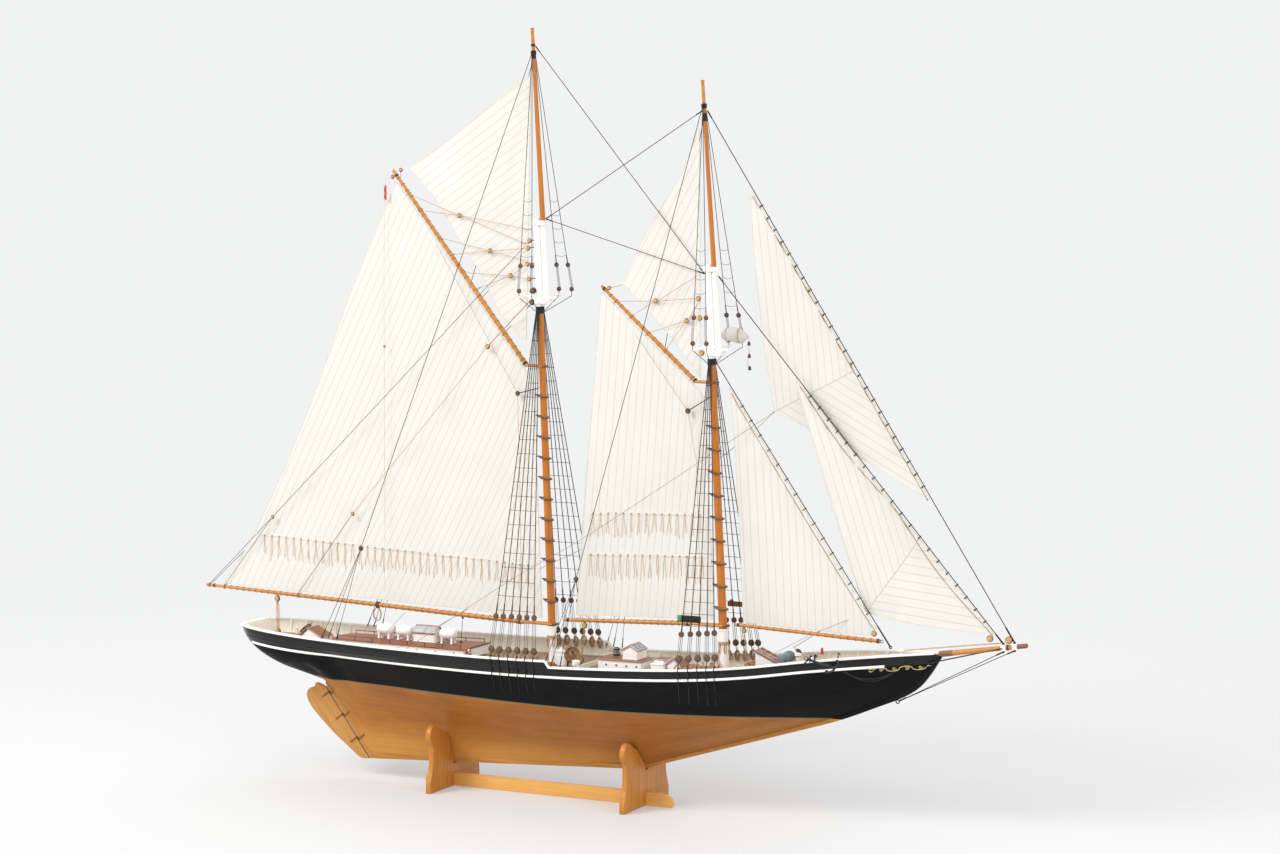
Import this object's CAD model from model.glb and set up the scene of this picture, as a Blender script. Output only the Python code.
"""A two-masted gaff schooner on its stand: the looks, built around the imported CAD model.

Lengths are written in millimetres in the model's own frame (+X to the bow, +Y to port, +Z up, Z = 0 on the
floor) and turned into metres where an object is made.
"""
import math
import random

import bmesh
import bpy
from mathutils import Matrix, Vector


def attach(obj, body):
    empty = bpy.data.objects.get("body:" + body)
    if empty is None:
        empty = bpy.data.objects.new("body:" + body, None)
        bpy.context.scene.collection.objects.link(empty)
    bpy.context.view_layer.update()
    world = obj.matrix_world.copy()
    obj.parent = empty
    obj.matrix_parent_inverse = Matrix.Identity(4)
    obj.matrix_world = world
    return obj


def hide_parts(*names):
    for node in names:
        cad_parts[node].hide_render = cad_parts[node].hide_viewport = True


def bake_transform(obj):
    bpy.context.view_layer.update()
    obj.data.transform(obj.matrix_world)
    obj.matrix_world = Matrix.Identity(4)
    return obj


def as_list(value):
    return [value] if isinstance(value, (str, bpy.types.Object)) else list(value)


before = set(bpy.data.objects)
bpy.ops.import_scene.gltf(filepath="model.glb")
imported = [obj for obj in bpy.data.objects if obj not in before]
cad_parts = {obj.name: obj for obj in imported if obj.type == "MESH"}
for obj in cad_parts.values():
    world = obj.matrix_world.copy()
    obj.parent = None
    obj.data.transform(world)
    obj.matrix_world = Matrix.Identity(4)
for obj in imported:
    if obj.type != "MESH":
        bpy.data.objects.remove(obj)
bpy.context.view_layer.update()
MM = 0.001
random.seed(7)

# ---------------------------------------------------------------- camera, light and floor


CAMERA_AT = (1.1186, -2.1602, 0.5231)
CAMERA_PITCH, CAMERA_TURN = 85.60, 26.04  # degrees
LENS, SENSOR = 76.7, 36
LIGHT_AIM = (0, 0, 0.3)
FLOOR_HALF = 30000
FLOOR_DROP = 0.2  # the floor lies this far under the stand's feet


def add_camera():
    data = bpy.data.cameras.new("camera")
    data.lens = LENS
    data.sensor_width = SENSOR
    camera = bpy.data.objects.new("camera", data)
    camera.location = CAMERA_AT
    camera.rotation_euler = (math.radians(CAMERA_PITCH), 0, math.radians(CAMERA_TURN))
    bpy.context.scene.collection.objects.link(camera)
    bpy.context.scene.camera = camera


def add_softbox(name, place, size, power):
    data = bpy.data.lights.new(name, "AREA")
    data.shape = "RECTANGLE"
    data.size, data.size_y = size
    data.energy = power
    lamp = bpy.data.objects.new(name, data)
    lamp.location = place
    aim = Vector(LIGHT_AIM) - Vector(place)
    lamp.rotation_euler = aim.to_track_quat("-Z", "Y").to_euler()
    bpy.context.scene.collection.objects.link(lamp)


BACKDROP = (0.88, 0.885, 0.89)


def floor_paper():
    """White paper that runs into the pale backdrop with distance."""
    f = Finish("floor_paper", 0.7)
    f.colour((0.74, 0.74, 0.735, 1))
    f.bump(f.noise(f.mapped((60, 60, 60)), detail=4), 0.05, 0.0005)
    away = f.node("ShaderNodeVectorMath", {"Vector": f.place}, operation="LENGTH").outputs["Value"]
    glow = f.node("ShaderNodeEmission", {"Color": (*BACKDROP, 1)}).outputs["Emission"]
    share = f.node("ShaderNodeMapRange", {"Value": away, "From Min": 0.1, "From Max": 1.9, "To Min": 0.25},
                   interpolation_type="SMOOTHSTEP").outputs["Result"]
    blended = f.node("ShaderNodeMixShader", {"Fac": share, 1: f.shader.outputs["BSDF"], 2: glow})
    f.feed(f.tree.nodes["Material Output"].inputs["Surface"], blended.outputs["Shader"])
    return f.material


def add_studio():
    bpy.context.scene.view_settings.view_transform = "Standard"
    world = bpy.data.worlds.new("studio")
    world.use_nodes = True
    background = world.node_tree.nodes["Background"]
    background.inputs["Color"].default_value = (*BACKDROP, 1)
    bpy.context.scene.world = world
    add_softbox("key", (-1.7, -2.3, 2.5), (1.6, 1.6), 84)
    add_softbox("fill", (2.6, -1.2, 1.4), (1.6, 1.6), 20)
    add_softbox("back", (0.2, 2.4, 2.2), (2.4, 1.4), 8)
    shape = Shape()
    corners = ((-1, -1), (1, -1), (1, 1), (-1, 1))
    shape.add([(x * FLOOR_HALF, y * FLOOR_HALF, -FLOOR_DROP) for x, y in corners], [[0, 1, 2, 3]])
    shape.mesh_object("floor", [floor_paper()])


# ---------------------------------------------------------------- shapes


def turns(count, start=0.0):
    return [start + 2 * math.pi * k / count for k in range(count)]


def mix(a, b, t):
    return a + (b - a) * t


def smooth(points):
    """A smooth curve through [x, value] pairs, with slopes taken across each point's neighbours."""
    last = len(points) - 1

    def slope(i):
        a, b = points[max(i - 1, 0)], points[min(i + 1, last)]
        return (b[1] - a[1]) / (b[0] - a[0])

    def value(x):
        i = 0
        while i < last - 1 and x > points[i + 1][0]:
            i += 1
        (x0, y0), (x1, y1) = points[i], points[i + 1]
        run = x1 - x0
        t = min(max((x - x0) / run, 0), 1)
        bend = t * (1 - t) * (1 - t) * run * slope(i) + t * t * (t - 1) * run * slope(i + 1)
        return mix(y0, y1, t * t * (3 - 2 * t)) + bend

    return value


def rounded(points, steps=6, closed=False):
    """The points of a smooth curve through a few hand-placed ones."""
    count = len(points)
    points = [Vector(p) for p in points]

    def at(i):
        return points[i % count] if closed else points[min(max(i, 0), count - 1)]

    out = []
    for i in range(count if closed else count - 1):
        p0, p1, p2, p3 = at(i - 1), at(i), at(i + 1), at(i + 2)
        for k in range(steps):
            t = k / steps
            out.append(0.5 * (2 * p1 + (p2 - p0) * t + (2 * p0 - 5 * p1 + 4 * p2 - p3) * t * t
                              + (3 * p1 - p0 - 3 * p2 + p3) * t ** 3))
    return out if closed else out + [points[-1]]


def sagging(a, b, sag, steps=8):
    """A slack line from a to b whose middle hangs down by sag."""
    a, b = Vector(a), Vector(b)
    shares = [k / steps for k in range(steps + 1)]
    return [a.lerp(b, t) - Vector((0, 0, 4 * sag * t * (1 - t))) for t in shares]


class Shape:
    """Points and faces in millimetres, gathered part by part into one object."""

    def __init__(self):
        self.points = []
        self.faces = []
        self.finishes = []

    def add(self, points, faces, finish=0):
        start = len(self.points)
        self.points += [Vector(p) for p in points]
        self.faces += [[start + k for k in face] for face in faces]
        self.finishes += [finish] * len(faces)

    def skin(self, rings, finish=0, ends=True, closed=True):
        """A skin over rings of equal count; ends closes the first and the last ring."""
        count = len(rings[0])
        faces = []
        for i in range(len(rings) - 1):
            for j in range(count if closed else count - 1):
                a = i * count + j
                b = i * count + (j + 1) % count
                faces.append([a, b, b + count, a + count])
        if ends:
            faces.append(list(range(count))[::-1])
            faces.append([k + (len(rings) - 1) * count for k in range(count)])
        self.add([p for ring in rings for p in ring], faces, finish)

    def tube(self, points, radius, sides=6, finish=0):
        """A round bar along a line; radius is one number or one for each point."""
        points = [Vector(p) for p in points]
        radii = radius if hasattr(radius, "__len__") else [radius] * len(points)
        across = None
        rings = []
        for i, p in enumerate(points):
            along = (points[min(i + 1, len(points) - 1)] - points[max(i - 1, 0)]).normalized()
            across = along.orthogonal() if across is None else across - along * across.dot(along)
            across.normalize()
            up = along.cross(across)
            rings.append([p + radii[i] * (math.cos(a) * across + math.sin(a) * up) for a in turns(sides)])
        self.skin(rings, finish)

    def lathe(self, centre, axis, profile, sides=16, finish=0):
        """Rings of (radius, height) turned about an axis through centre."""
        centre, axis = Vector(centre), Vector(axis).normalized()
        across = axis.orthogonal().normalized()
        up = axis.cross(across)
        self.skin([[centre + axis * h + r * (math.cos(a) * across + math.sin(a) * up) for a in turns(sides)]
                   for r, h in profile], finish)

    def ball(self, centre, radius, axis=(0, 0, 1), squash=1.0, sides=12, rings=7, finish=0):
        arcs = [math.pi * (k + 0.3) / (rings - 0.4) for k in range(rings)]
        profile = [(radius * math.sin(a), -radius * squash * math.cos(a)) for a in arcs]
        self.lathe(centre, axis, profile, sides, finish)

    def ring(self, centre, axis, radius, thick, sides=20, finish=0):
        """A round grommet, hoop or eye."""
        axis = Vector(axis).normalized()
        across = axis.orthogonal().normalized()
        up = axis.cross(across)
        rings = []
        for a in turns(sides):
            out = math.cos(a) * across + math.sin(a) * up
            middle = Vector(centre) + radius * out
            rings.append([middle + thick * (math.cos(b) * out + math.sin(b) * axis) for b in turns(8)])
        self.skin(rings + [rings[0]], finish, ends=False)

    def slab(self, outline, low, high, across="y", finish=0):
        """A flat plate of that outline, from low to high along the axis named across."""
        place = {
            "x": lambda a, b, c: (c, a, b), "y": lambda a, b, c: (a, c, b),
            "z": lambda a, b, c: (a, b, c),
        }[across]
        self.skin([[place(a, b, low) for a, b in outline], [place(a, b, high) for a, b in outline]], finish)

    def box(self, x0, x1, y0, y1, z0, z1, finish=0):
        self.slab([(x0, y0), (x1, y0), (x1, y1), (x0, y1)], z0, z1, "z", finish)

    def mesh_object(self, name, materials, bevel=0.0, sharp=35, weld=True):
        mesh = bpy.data.meshes.new(name)
        mesh.from_pydata([p * MM for p in self.points], [], self.faces)
        for m in materials:
            mesh.materials.append(m)
        mesh.polygons.foreach_set("material_index", self.finishes)
        work = bmesh.new()
        work.from_mesh(mesh)
        if weld:
            bmesh.ops.remove_doubles(work, verts=work.verts, dist=0.00001)
        bmesh.ops.recalc_face_normals(work, faces=work.faces)
        if bevel:
            edges = [e for e in work.edges if e.is_manifold and e.calc_face_angle(0) > math.radians(sharp)]
            bmesh.ops.bevel(work, geom=edges, offset=bevel * MM, segments=2, profile=0.6, affect="EDGES",
                            clamp_overlap=True)
        work.to_mesh(mesh)
        work.free()
        mesh.shade_smooth()
        mesh.set_sharp_from_angle(angle=math.radians(sharp))
        made = bpy.data.objects.new(name, mesh)
        bpy.context.scene.collection.objects.link(made)
        return made

    def piece(self, name, body, slot, materials, replaces=(), **shaping):
        made = self.mesh_object(name, materials, **shaping)
        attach(made, body)
        if replaces:
            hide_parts(*replaces)
        return made


# ---------------------------------------------------------------- materials


class Finish:
    """A small helper for building one procedural material."""

    def __init__(self, name, roughness, metallic=0.0, coat=0.0, shine=0.5):
        self.material = bpy.data.materials.new(name)
        self.material.use_nodes = True
        self.tree = self.material.node_tree
        self.shader = self.tree.nodes["Principled BSDF"]
        self.shader.inputs["Roughness"].default_value = roughness
        self.shader.inputs["Metallic"].default_value = metallic
        self.shader.inputs["Coat Weight"].default_value = coat
        self.shader.inputs["Specular IOR Level"].default_value = shine
        self.place = self.node("ShaderNodeTexCoord").outputs["Object"]

    def node(self, kind, inputs=None, **settings):
        made = self.tree.nodes.new(kind)
        for key, value in settings.items():
            setattr(made, key, value)
        for key, value in (inputs or {}).items():
            self.feed(made.inputs[key], value)
        return made

    def feed(self, socket, value):
        if isinstance(value, bpy.types.NodeSocket):
            self.tree.links.new(value, socket)
        else:
            socket.default_value = value

    def math(self, operation, *values):
        made = self.node("ShaderNodeMath", operation=operation)
        for k, value in enumerate(values):
            self.feed(made.inputs[k], value)
        return made.outputs[0]

    def mapped(self, scale, turn=(0, 0, 0)):
        inputs = {"Vector": self.place, "Scale": scale, "Rotation": turn}
        return self.node("ShaderNodeMapping", inputs).outputs["Vector"]

    def noise(self, where, scale=1.0, detail=4.0, roughness=0.5):
        inputs = {"Vector": where, "Scale": scale, "Detail": detail, "Roughness": roughness}
        return self.node("ShaderNodeTexNoise", inputs).outputs["Fac"]

    def between(self, share, a, b):
        made = self.node("ShaderNodeMix", data_type="RGBA")
        self.feed(made.inputs["Factor"], share)
        self.feed(made.inputs["A"], a if isinstance(a, bpy.types.NodeSocket) else (*a, 1))
        self.feed(made.inputs["B"], b if isinstance(b, bpy.types.NodeSocket) else (*b, 1))
        return made.outputs["Result"]

    def ranged(self, value, low, high, to_low=0.0, to_high=1.0):
        inputs = {"Value": value, "From Min": low, "From Max": high, "To Min": to_low, "To Max": to_high}
        return self.node("ShaderNodeMapRange", inputs).outputs["Result"]

    def colour(self, value):
        self.feed(self.shader.inputs["Base Color"], value)

    def bump(self, height, strength, distance):
        inputs = {"Height": height, "Strength": strength, "Distance": distance}
        self.feed(self.shader.inputs["Normal"], self.node("ShaderNodeBump", inputs).outputs["Normal"])


def paint(name, colour, roughness, speckle=0.04, coat=0.0, brush=(300, 300, 300)):
    """Brushed or sprayed paint: a slightly uneven tone and surface."""
    f = Finish(name, roughness, coat=coat)
    broad = f.noise(f.mapped((40, 40, 40)), detail=3)
    strokes = f.noise(f.mapped(brush), detail=3)
    tone = f.math("ADD", f.math("MULTIPLY", broad, 0.6), f.math("MULTIPLY", strokes, 0.4))
    darker = tuple(c * (1 - 4 * speckle) for c in colour)
    lighter = tuple(min(c * (1 + 2 * speckle), 1) for c in colour)
    f.colour(f.between(f.ranged(tone, 0.3, 0.7), darker, lighter))
    f.feed(f.shader.inputs["Roughness"], f.ranged(strokes, 0.3, 0.7, roughness * 0.9,
                                                  min(roughness * 1.15, 1)))
    f.bump(strokes, 0.15, 0.0002)
    return f.material


def wood(name, light, dark, grain="x", roughness=0.38, coat=0.06, tilt=0.0, fine=1.0):
    """Varnished wood with streaks along one axis; tilt turns them about Y, in degrees."""
    along, across = 18 * fine, 420 * fine
    scale = {"x": (along, across, across), "y": (across, along, across),
             "z": (across, across, along)}[grain]
    f = Finish(name, roughness, coat=coat, shine=0.3)
    turned = f.node("ShaderNodeMapping", {"Vector": f.place, "Rotation": (0, math.radians(tilt), 0)})
    where = f.node("ShaderNodeMapping", {"Vector": turned.outputs["Vector"],
                                         "Scale": scale}).outputs["Vector"]
    streaks = f.noise(where, detail=6, roughness=0.62)
    patches = f.noise(f.mapped((14, 14, 14)), detail=2)
    share = f.math("ADD", f.math("MULTIPLY", f.ranged(streaks, 0.32, 0.68), 0.7),
                   f.math("MULTIPLY", patches, 0.35))
    f.colour(f.between(share, dark, light))
    f.feed(f.shader.inputs["Roughness"], f.ranged(streaks, 0.3, 0.7, roughness * 1.2, roughness * 0.85))
    f.bump(streaks, 0.12, 0.0002)
    return f.material


def seam_mask(f, value, spacing, width):
    """1 on thin lines a spacing apart along value, in metres, and 0 between them."""
    share = f.math("FRACT", f.math("DIVIDE", value, spacing))
    off = f.math("ABSOLUTE", f.math("SUBTRACT", share, 0.5))
    return f.ranged(off, 0.5 - width / spacing, 0.5 - width / spacing / 3)


def axis_value(f, name):
    return f.node("ShaderNodeSeparateXYZ", {"Vector": f.place}).outputs[name]


def planked_deck(name):
    """Narrow deck planks along X with dark caulking and staggered butts."""
    f = Finish(name, 0.45, coat=0.1)
    x, y = axis_value(f, "X"), axis_value(f, "Y")
    caulk = seam_mask(f, y, 0.0042, 0.00035)
    row = f.math("FLOOR", f.math("DIVIDE", f.math("ADD", y, 0.0021), 0.0042))
    shifted = f.math("ADD", x, f.math("MULTIPLY", row, 0.0271))
    butt = seam_mask(f, shifted, 0.081, 0.0003)
    streaks = f.noise(f.mapped((25, 520, 520)), detail=6, roughness=0.6)
    tone = f.node("ShaderNodeTexWhiteNoise", {"W": row}, noise_dimensions="1D").outputs["Value"]
    share = f.math("ADD", f.math("MULTIPLY", streaks, 0.7), f.math("MULTIPLY", tone, 0.3))
    boards = f.between(share, (0.20, 0.115, 0.065), (0.46, 0.30, 0.19))
    lines = f.math("MAXIMUM", caulk, butt)
    f.colour(f.between(f.math("MULTIPLY", lines, 0.8), boards, (0.07, 0.045, 0.03)))
    f.bump(f.math("SUBTRACT", f.math("MULTIPLY", streaks, 0.2), lines), 0.5, 0.0002)
    return f.material


def bottom_planks(name):
    """Long varnished planks on the bottom of the hull, by the mesh's own plank count."""
    f = Finish(name, 0.45, coat=0.03, shine=0.2)
    plank = f.node("ShaderNodeAttribute", attribute_name="plank").outputs["Fac"]
    seam = seam_mask(f, plank, 1.0, 0.05)
    row = f.math("FLOOR", f.math("ADD", plank, 0.5))
    streaks = f.noise(f.mapped((16, 260, 260)), detail=6, roughness=0.62)
    patches = f.noise(f.mapped((22, 22, 30)), detail=4, roughness=0.55)
    tone = f.node("ShaderNodeTexWhiteNoise", {"W": row}, noise_dimensions="1D").outputs["Value"]
    share = f.math("ADD", f.math("MULTIPLY", streaks, 0.45), f.math("MULTIPLY", patches, 0.6))
    share = f.math("ADD", share, f.math("MULTIPLY", f.math("SUBTRACT", tone, 0.5), 0.12))
    boards = f.between(f.ranged(share, 0.25, 0.85), (0.26, 0.08, 0.009), (0.44, 0.17, 0.033))
    low = f.math("MULTIPLY", f.ranged(axis_value(f, "Z"), 0.036, 0.06, 0.6, 0.0),
                 f.ranged(axis_value(f, "X"), 0.02, 0.09, 1.0, 0.0))
    pale = f.math("MAXIMUM", f.ranged(axis_value(f, "X"), -0.19, -0.34, 0.0, 0.7), low)
    boards = f.between(pale, boards, (0.64, 0.31, 0.065))
    f.colour(f.between(f.math("MULTIPLY", seam, 0.22), boards, (0.16, 0.08, 0.035)))
    f.bump(f.math("SUBTRACT", f.math("MULTIPLY", streaks, 0.25), seam), 0.3, 0.0002)
    return f.material


def hull_black(name, roughness, coat, shine):
    """Black paint over planks whose seams just show."""
    f = Finish(name, roughness, coat=coat, shine=shine)
    plank = f.node("ShaderNodeAttribute", attribute_name="plank").outputs["Fac"]
    seam = seam_mask(f, plank, 1.0, 0.045)
    wear = f.noise(f.mapped((60, 60, 200)), detail=4)
    f.colour(f.between(f.ranged(wear, 0.3, 0.75), (0.005, 0.0048, 0.0048), (0.009, 0.0086, 0.0086)))
    f.feed(f.shader.inputs["Roughness"], f.ranged(wear, 0.3, 0.7, roughness * 0.85, roughness * 1.2))
    f.bump(f.math("SUBTRACT", f.math("MULTIPLY", wear, 0.3), seam), 0.22, 0.0002)
    return f.material


def sailcloth(name, seams, spacing=0.0071, mitre=None):
    """Sewn cloth. seams is the angle of the cloths in the X-Z plane, in degrees; a mitre-cut sail has two,
    with mitre as the point and angle of the line between them."""
    f = Finish(name, 0.85)
    x, z = axis_value(f, "X"), axis_value(f, "Z")

    def across(angle, point=(0.0, 0.0)):
        a = math.radians(angle)
        dx = f.math("MULTIPLY", f.math("SUBTRACT", x, point[0] * MM), math.sin(a))
        dz = f.math("MULTIPLY", f.math("SUBTRACT", z, point[1] * MM), -math.cos(a))
        return f.math("ADD", dx, dz)

    def lines(angle):
        value = across(angle)
        along = across(angle + 90)
        stitch = f.ranged(f.math("FRACT", f.math("DIVIDE", along, 0.0011)), 0.35, 0.45)
        main = seam_mask(f, value, spacing, 0.00032)
        beside = seam_mask(f, f.math("ADD", value, 0.0008), spacing, 0.00026)
        return f.math("MAXIMUM", main, f.math("MULTIPLY", f.math("MULTIPLY", beside, stitch), 0.4))

    mask = lines(seams[0])
    if mitre:
        point, angle = mitre
        side = f.ranged(across(angle, point), -0.00005, 0.00005)
        other = lines(seams[1])
        keep = f.math("MULTIPLY", mask, f.math("SUBTRACT", 1.0, side))
        mask = f.math("MAXIMUM", keep, f.math("MULTIPLY", other, side))
        edge = f.math("ABSOLUTE", across(angle, point))
        mask = f.math("MAXIMUM", mask, f.ranged(edge, 0.0006, 0.0003))
    weave = f.noise(f.mapped((2600, 2600, 2600)), detail=2)
    creases = f.noise(f.mapped((26, 26, 26)), detail=3)
    cloth = f.between(f.ranged(creases, 0.3, 0.7), (0.70, 0.672, 0.622), (0.73, 0.702, 0.656))
    f.colour(f.between(f.math("MULTIPLY", mask, 0.5), cloth, (0.36, 0.31, 0.24)))
    height = f.math("ADD", f.math("MULTIPLY", weave, 0.25), f.math("MULTIPLY", creases, 3.0))
    f.bump(f.math("ADD", height, f.math("MULTIPLY", mask, 0.8)), 0.22, 0.0002)
    f.shader.inputs["Sheen Weight"].default_value = 0.15
    return f.material


def twisted(name, light, dark, roughness=0.8):
    """Laid cord: fine slanting strands in two tones."""
    f = Finish(name, roughness)
    strands = f.noise(f.mapped((1500, 1500, 700), (0.6, 0.5, 0)), detail=2)
    f.colour(f.between(f.ranged(strands, 0.35, 0.65), dark, light))
    f.bump(strands, 0.4, 0.0002)
    return f.material


def metal(name, colour, roughness):
    f = Finish(name, roughness, metallic=0.85)
    wear = f.noise(f.mapped((350, 350, 350)), detail=4)
    f.colour(f.between(f.ranged(wear, 0.35, 0.7), tuple(c * 0.6 for c in colour), colour))
    f.feed(f.shader.inputs["Roughness"], f.ranged(wear, 0.3, 0.7, roughness * 0.8, roughness * 1.3))
    return f.material


def glazing(name, colour):
    """Painted-on panes: a cool gloss."""
    f = Finish(name, 0.12, coat=0.6)
    cloud = f.noise(f.mapped((90, 90, 90)), detail=2)
    f.colour(f.between(cloud, tuple(c * 0.7 for c in colour), colour))
    return f.material


BLACK_GLOSS = hull_black("black_gloss", 0.22, 0.25, 0.2)
BLACK_SATIN = hull_black("black_satin", 0.55, 0.0, 0.08)
BLACK_PAINT = paint("black_paint", (0.005, 0.005, 0.005), 0.6)
BOOT_GREEN = paint("boot_line", (0.075, 0.115, 0.07), 0.5)
BOTTOM = bottom_planks("bottom_planks")
WHITE = paint("white_paint", (0.93, 0.91, 0.87), 0.42, speckle=0.015, coat=0.1)
CREAM = paint("cream_paint", (0.93, 0.87, 0.75), 0.5, speckle=0.02)
TANK_WHITE = paint("tank_white", (0.93, 0.92, 0.90), 0.3, speckle=0.015, coat=0.25)
DECK = planked_deck("deck_planks")
MAHOGANY = wood("mahogany", (0.33, 0.13, 0.08), (0.16, 0.055, 0.03), "x", 0.35)
MAHOGANY_TRIM = wood("mahogany_trim", (0.27, 0.10, 0.05), (0.12, 0.04, 0.022), "x", 0.32)
DARK_WOOD = wood("dark_wood", (0.30, 0.135, 0.06), (0.15, 0.06, 0.028), "x", 0.35)
STAND_X = wood("stand_wood_board", (0.80, 0.44, 0.13), (0.64, 0.30, 0.06), "x", 0.42)
STAND_Z = wood("stand_wood_cradle", (0.58, 0.25, 0.045), (0.40, 0.135, 0.018), "z", 0.42)
RUDDER_WOOD = wood("rudder_wood", (0.60, 0.30, 0.08), (0.39, 0.17, 0.036), "z", 0.4, tilt=36)
SPAR = {
    "mast": wood("mast_wood", (0.61, 0.205, 0.026), (0.39, 0.11, 0.011), "z", 0.34, 0.08),
    "boom": wood("boom_wood", (0.63, 0.27, 0.055), (0.42, 0.15, 0.026), "x", 0.34, 0.08),
    "gaff": wood("gaff_wood", (0.63, 0.27, 0.055), (0.42, 0.15, 0.026), "x", 0.34, 0.08, tilt=-50),
}
PLY = wood("frame_ply", (0.62, 0.46, 0.28), (0.48, 0.33, 0.18), "z", 0.6, 0)
BRASS = metal("brass_fittings", (0.62, 0.43, 0.17), 0.35)
DARK_BRONZE = metal("dark_bronze", (0.34, 0.19, 0.085), 0.45)
IRON = paint("black_iron", (0.012, 0.012, 0.013), 0.5, speckle=0.08)
SLATE = paint("slate_paint", (0.15, 0.20, 0.225), 0.35)
RED = paint("red_paint", (0.52, 0.03, 0.025), 0.4)
GREEN = paint("green_lamp", (0.07, 0.28, 0.10), 0.25)
GLASS = glazing("pane_blue", (0.15, 0.22, 0.29))
GLASS_PALE = glazing("pane_pale", (0.55, 0.60, 0.60))
TARRED = twisted("tarred_cord", (0.034, 0.026, 0.02), (0.007, 0.006, 0.006))
NATURAL = twisted("natural_cord", (0.60, 0.37, 0.17), (0.30, 0.16, 0.07))
BLACK_CORD = twisted("black_cord", (0.012, 0.011, 0.011), (0.004, 0.004, 0.004))
PALE_CORD = twisted("pale_cord", (0.72, 0.62, 0.47), (0.45, 0.34, 0.21))
DEADEYE = wood("deadeye_wood", (0.20, 0.10, 0.05), (0.07, 0.033, 0.018), "z", 0.4, 0.2, fine=3)
BLOCK = wood("block_wood", (0.66, 0.40, 0.14), (0.42, 0.22, 0.07), "z", 0.4, 0.2, fine=3)
GOLD = paint("gold_paint", (0.62, 0.45, 0.18), 0.35, speckle=0.05)

# ---------------------------------------------------------------- hull lines, as in the CAD source

KEEL_HALF = 2.3
PLANKING = 2.4
QUARTER_RISE = 5.4
BREAK_X = 5
BREAK_RUN = 5
MOULDING_DROP = 7.8
MOULDING_HALF = 1.1
WATERLINE = 92.5
STERN_X, BOW_X = -346, 345
SHEER = smooth([[-346, 132.3], [-273, 128.7], [-203, 127.2], [-129, 126.5], [-60, 126.5], [6, 127.5],
                [72, 129.4], [135, 132.6], [183, 137.2], [238, 144.8], [298, 151.4], [345, 155.5]])
DECK_HALF = smooth([[-346, 22], [-335, 31], [-311, 39.5], [-273, 46], [-203, 55], [-129, 61], [-60, 64],
                    [6, 63.5], [60, 59.5], [100, 55.5], [135, 51], [183, 43.5], [238, 32], [298, 17.5],
                    [345, 2.5]])
RABBET = smooth([[-346, 119], [-330, 109], [-311, 101], [-290, 94.5], [-275, 90], [-264, 86.2], [-252, 71],
                 [-240, 55], [-228, 38.5], [-218, 25.5], [-203, 24], [-150, 25.4], [0, 33], [67, 36.6],
                 [80, 40], [100, 46.4], [150, 62], [220, 84], [256, 95.5], [291, 110], [314, 121],
                 [328, 131.5], [337, 142.5], [345, 154]])
LOW, MIDDLE, HIGH = 0.12, 0.35, 0.6
LOW_SHARE = smooth([[-346, 0.55], [-311, 0.45], [-275, 0.3], [-252, 0.12], [-228, 0.06], [-183, 0.07],
                    [-100, 0.11], [0, 0.18], [68, 0.22], [140, 0.3], [219, 0.33], [345, 0.3]])
MIDDLE_SHARE = smooth([[-346, 0.8], [-311, 0.76], [-275, 0.68], [-252, 0.36], [-228, 0.16], [-183, 0.19],
                       [-144, 0.26], [-100, 0.35], [-37, 0.47], [30, 0.56], [68, 0.61], [140, 0.7],
                       [219, 0.68], [345, 0.6]])
HIGH_SHARE = smooth([[-346, 0.93], [-311, 0.91], [-275, 0.9], [-252, 0.76], [-228, 0.42], [-183, 0.44],
                     [-144, 0.55], [-100, 0.66], [-37, 0.8], [30, 0.91], [68, 0.94], [140, 0.93],
                     [219, 0.89], [345, 0.85]])


def rail_z(x):
    """Top of the bulwarks, with the step down at the break of the quarter deck."""
    past = min(max((x - BREAK_X + BREAK_RUN) / BREAK_RUN, 0), 1)
    return SHEER(x) + QUARTER_RISE * (1 - past * past * (3 - 2 * past))


def half_breadth(x, z):
    full = DECK_HALF(x)
    u = min(max((z - RABBET(x)) / (SHEER(x) - RABBET(x)), 0), 1)
    keel = KEEL_HALF / full
    shares = smooth([[0, keel], [LOW, max(LOW_SHARE(x), keel)], [MIDDLE, MIDDLE_SHARE(x)],
                     [HIGH, HIGH_SHARE(x)], [1, 1]])
    return max(full * shares(u), KEEL_HALF)


def lean(x, z):
    """The sections near the taffrail lean aft."""
    return min(max((-300 - x) / 46, 0), 1) * 0.35 * (rail_z(x) - z)


def on_hull(x, z, side, out=0.0):
    """The place on the hull's skin at that station and height, moved out along its normal."""
    e = 0.5
    slope_z = (half_breadth(x, z + e) - half_breadth(x, z - e)) / (2 * e)
    slope_x = (half_breadth(x + e, z) - half_breadth(x - e, z)) / (2 * e)
    normal = Vector((-slope_x, 1, -slope_z)).normalized()
    y = half_breadth(x, z)
    return Vector((x + lean(x, z) + normal.x * out, side * (y + normal.y * out), z + normal.z * out))


def stations(start, end, step):
    count = max(1, round((end - start) / step))
    return [start + (end - start) * k / count for k in range(count + 1)]


def hull_stations(start=STERN_X, end=BOW_X):
    """Close together where the hull turns quickly or the rail steps, and open along the middle."""
    marks = [(STERN_X, -200, 4), (-200, -6, 8), (-6, 10, 1), (10, 60, 8), (60, 110, 5), (110, 280, 8),
             (280, BOW_X, 3)]
    found = {start, end}
    for a, b, step in marks:
        found.update(x for x in stations(a, b, step) if start < x < end)
    return sorted(found)


PLANKS_PER_SIDE = 20
SKIN_ROWS = [k / 30 for k in range(31)]


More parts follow.
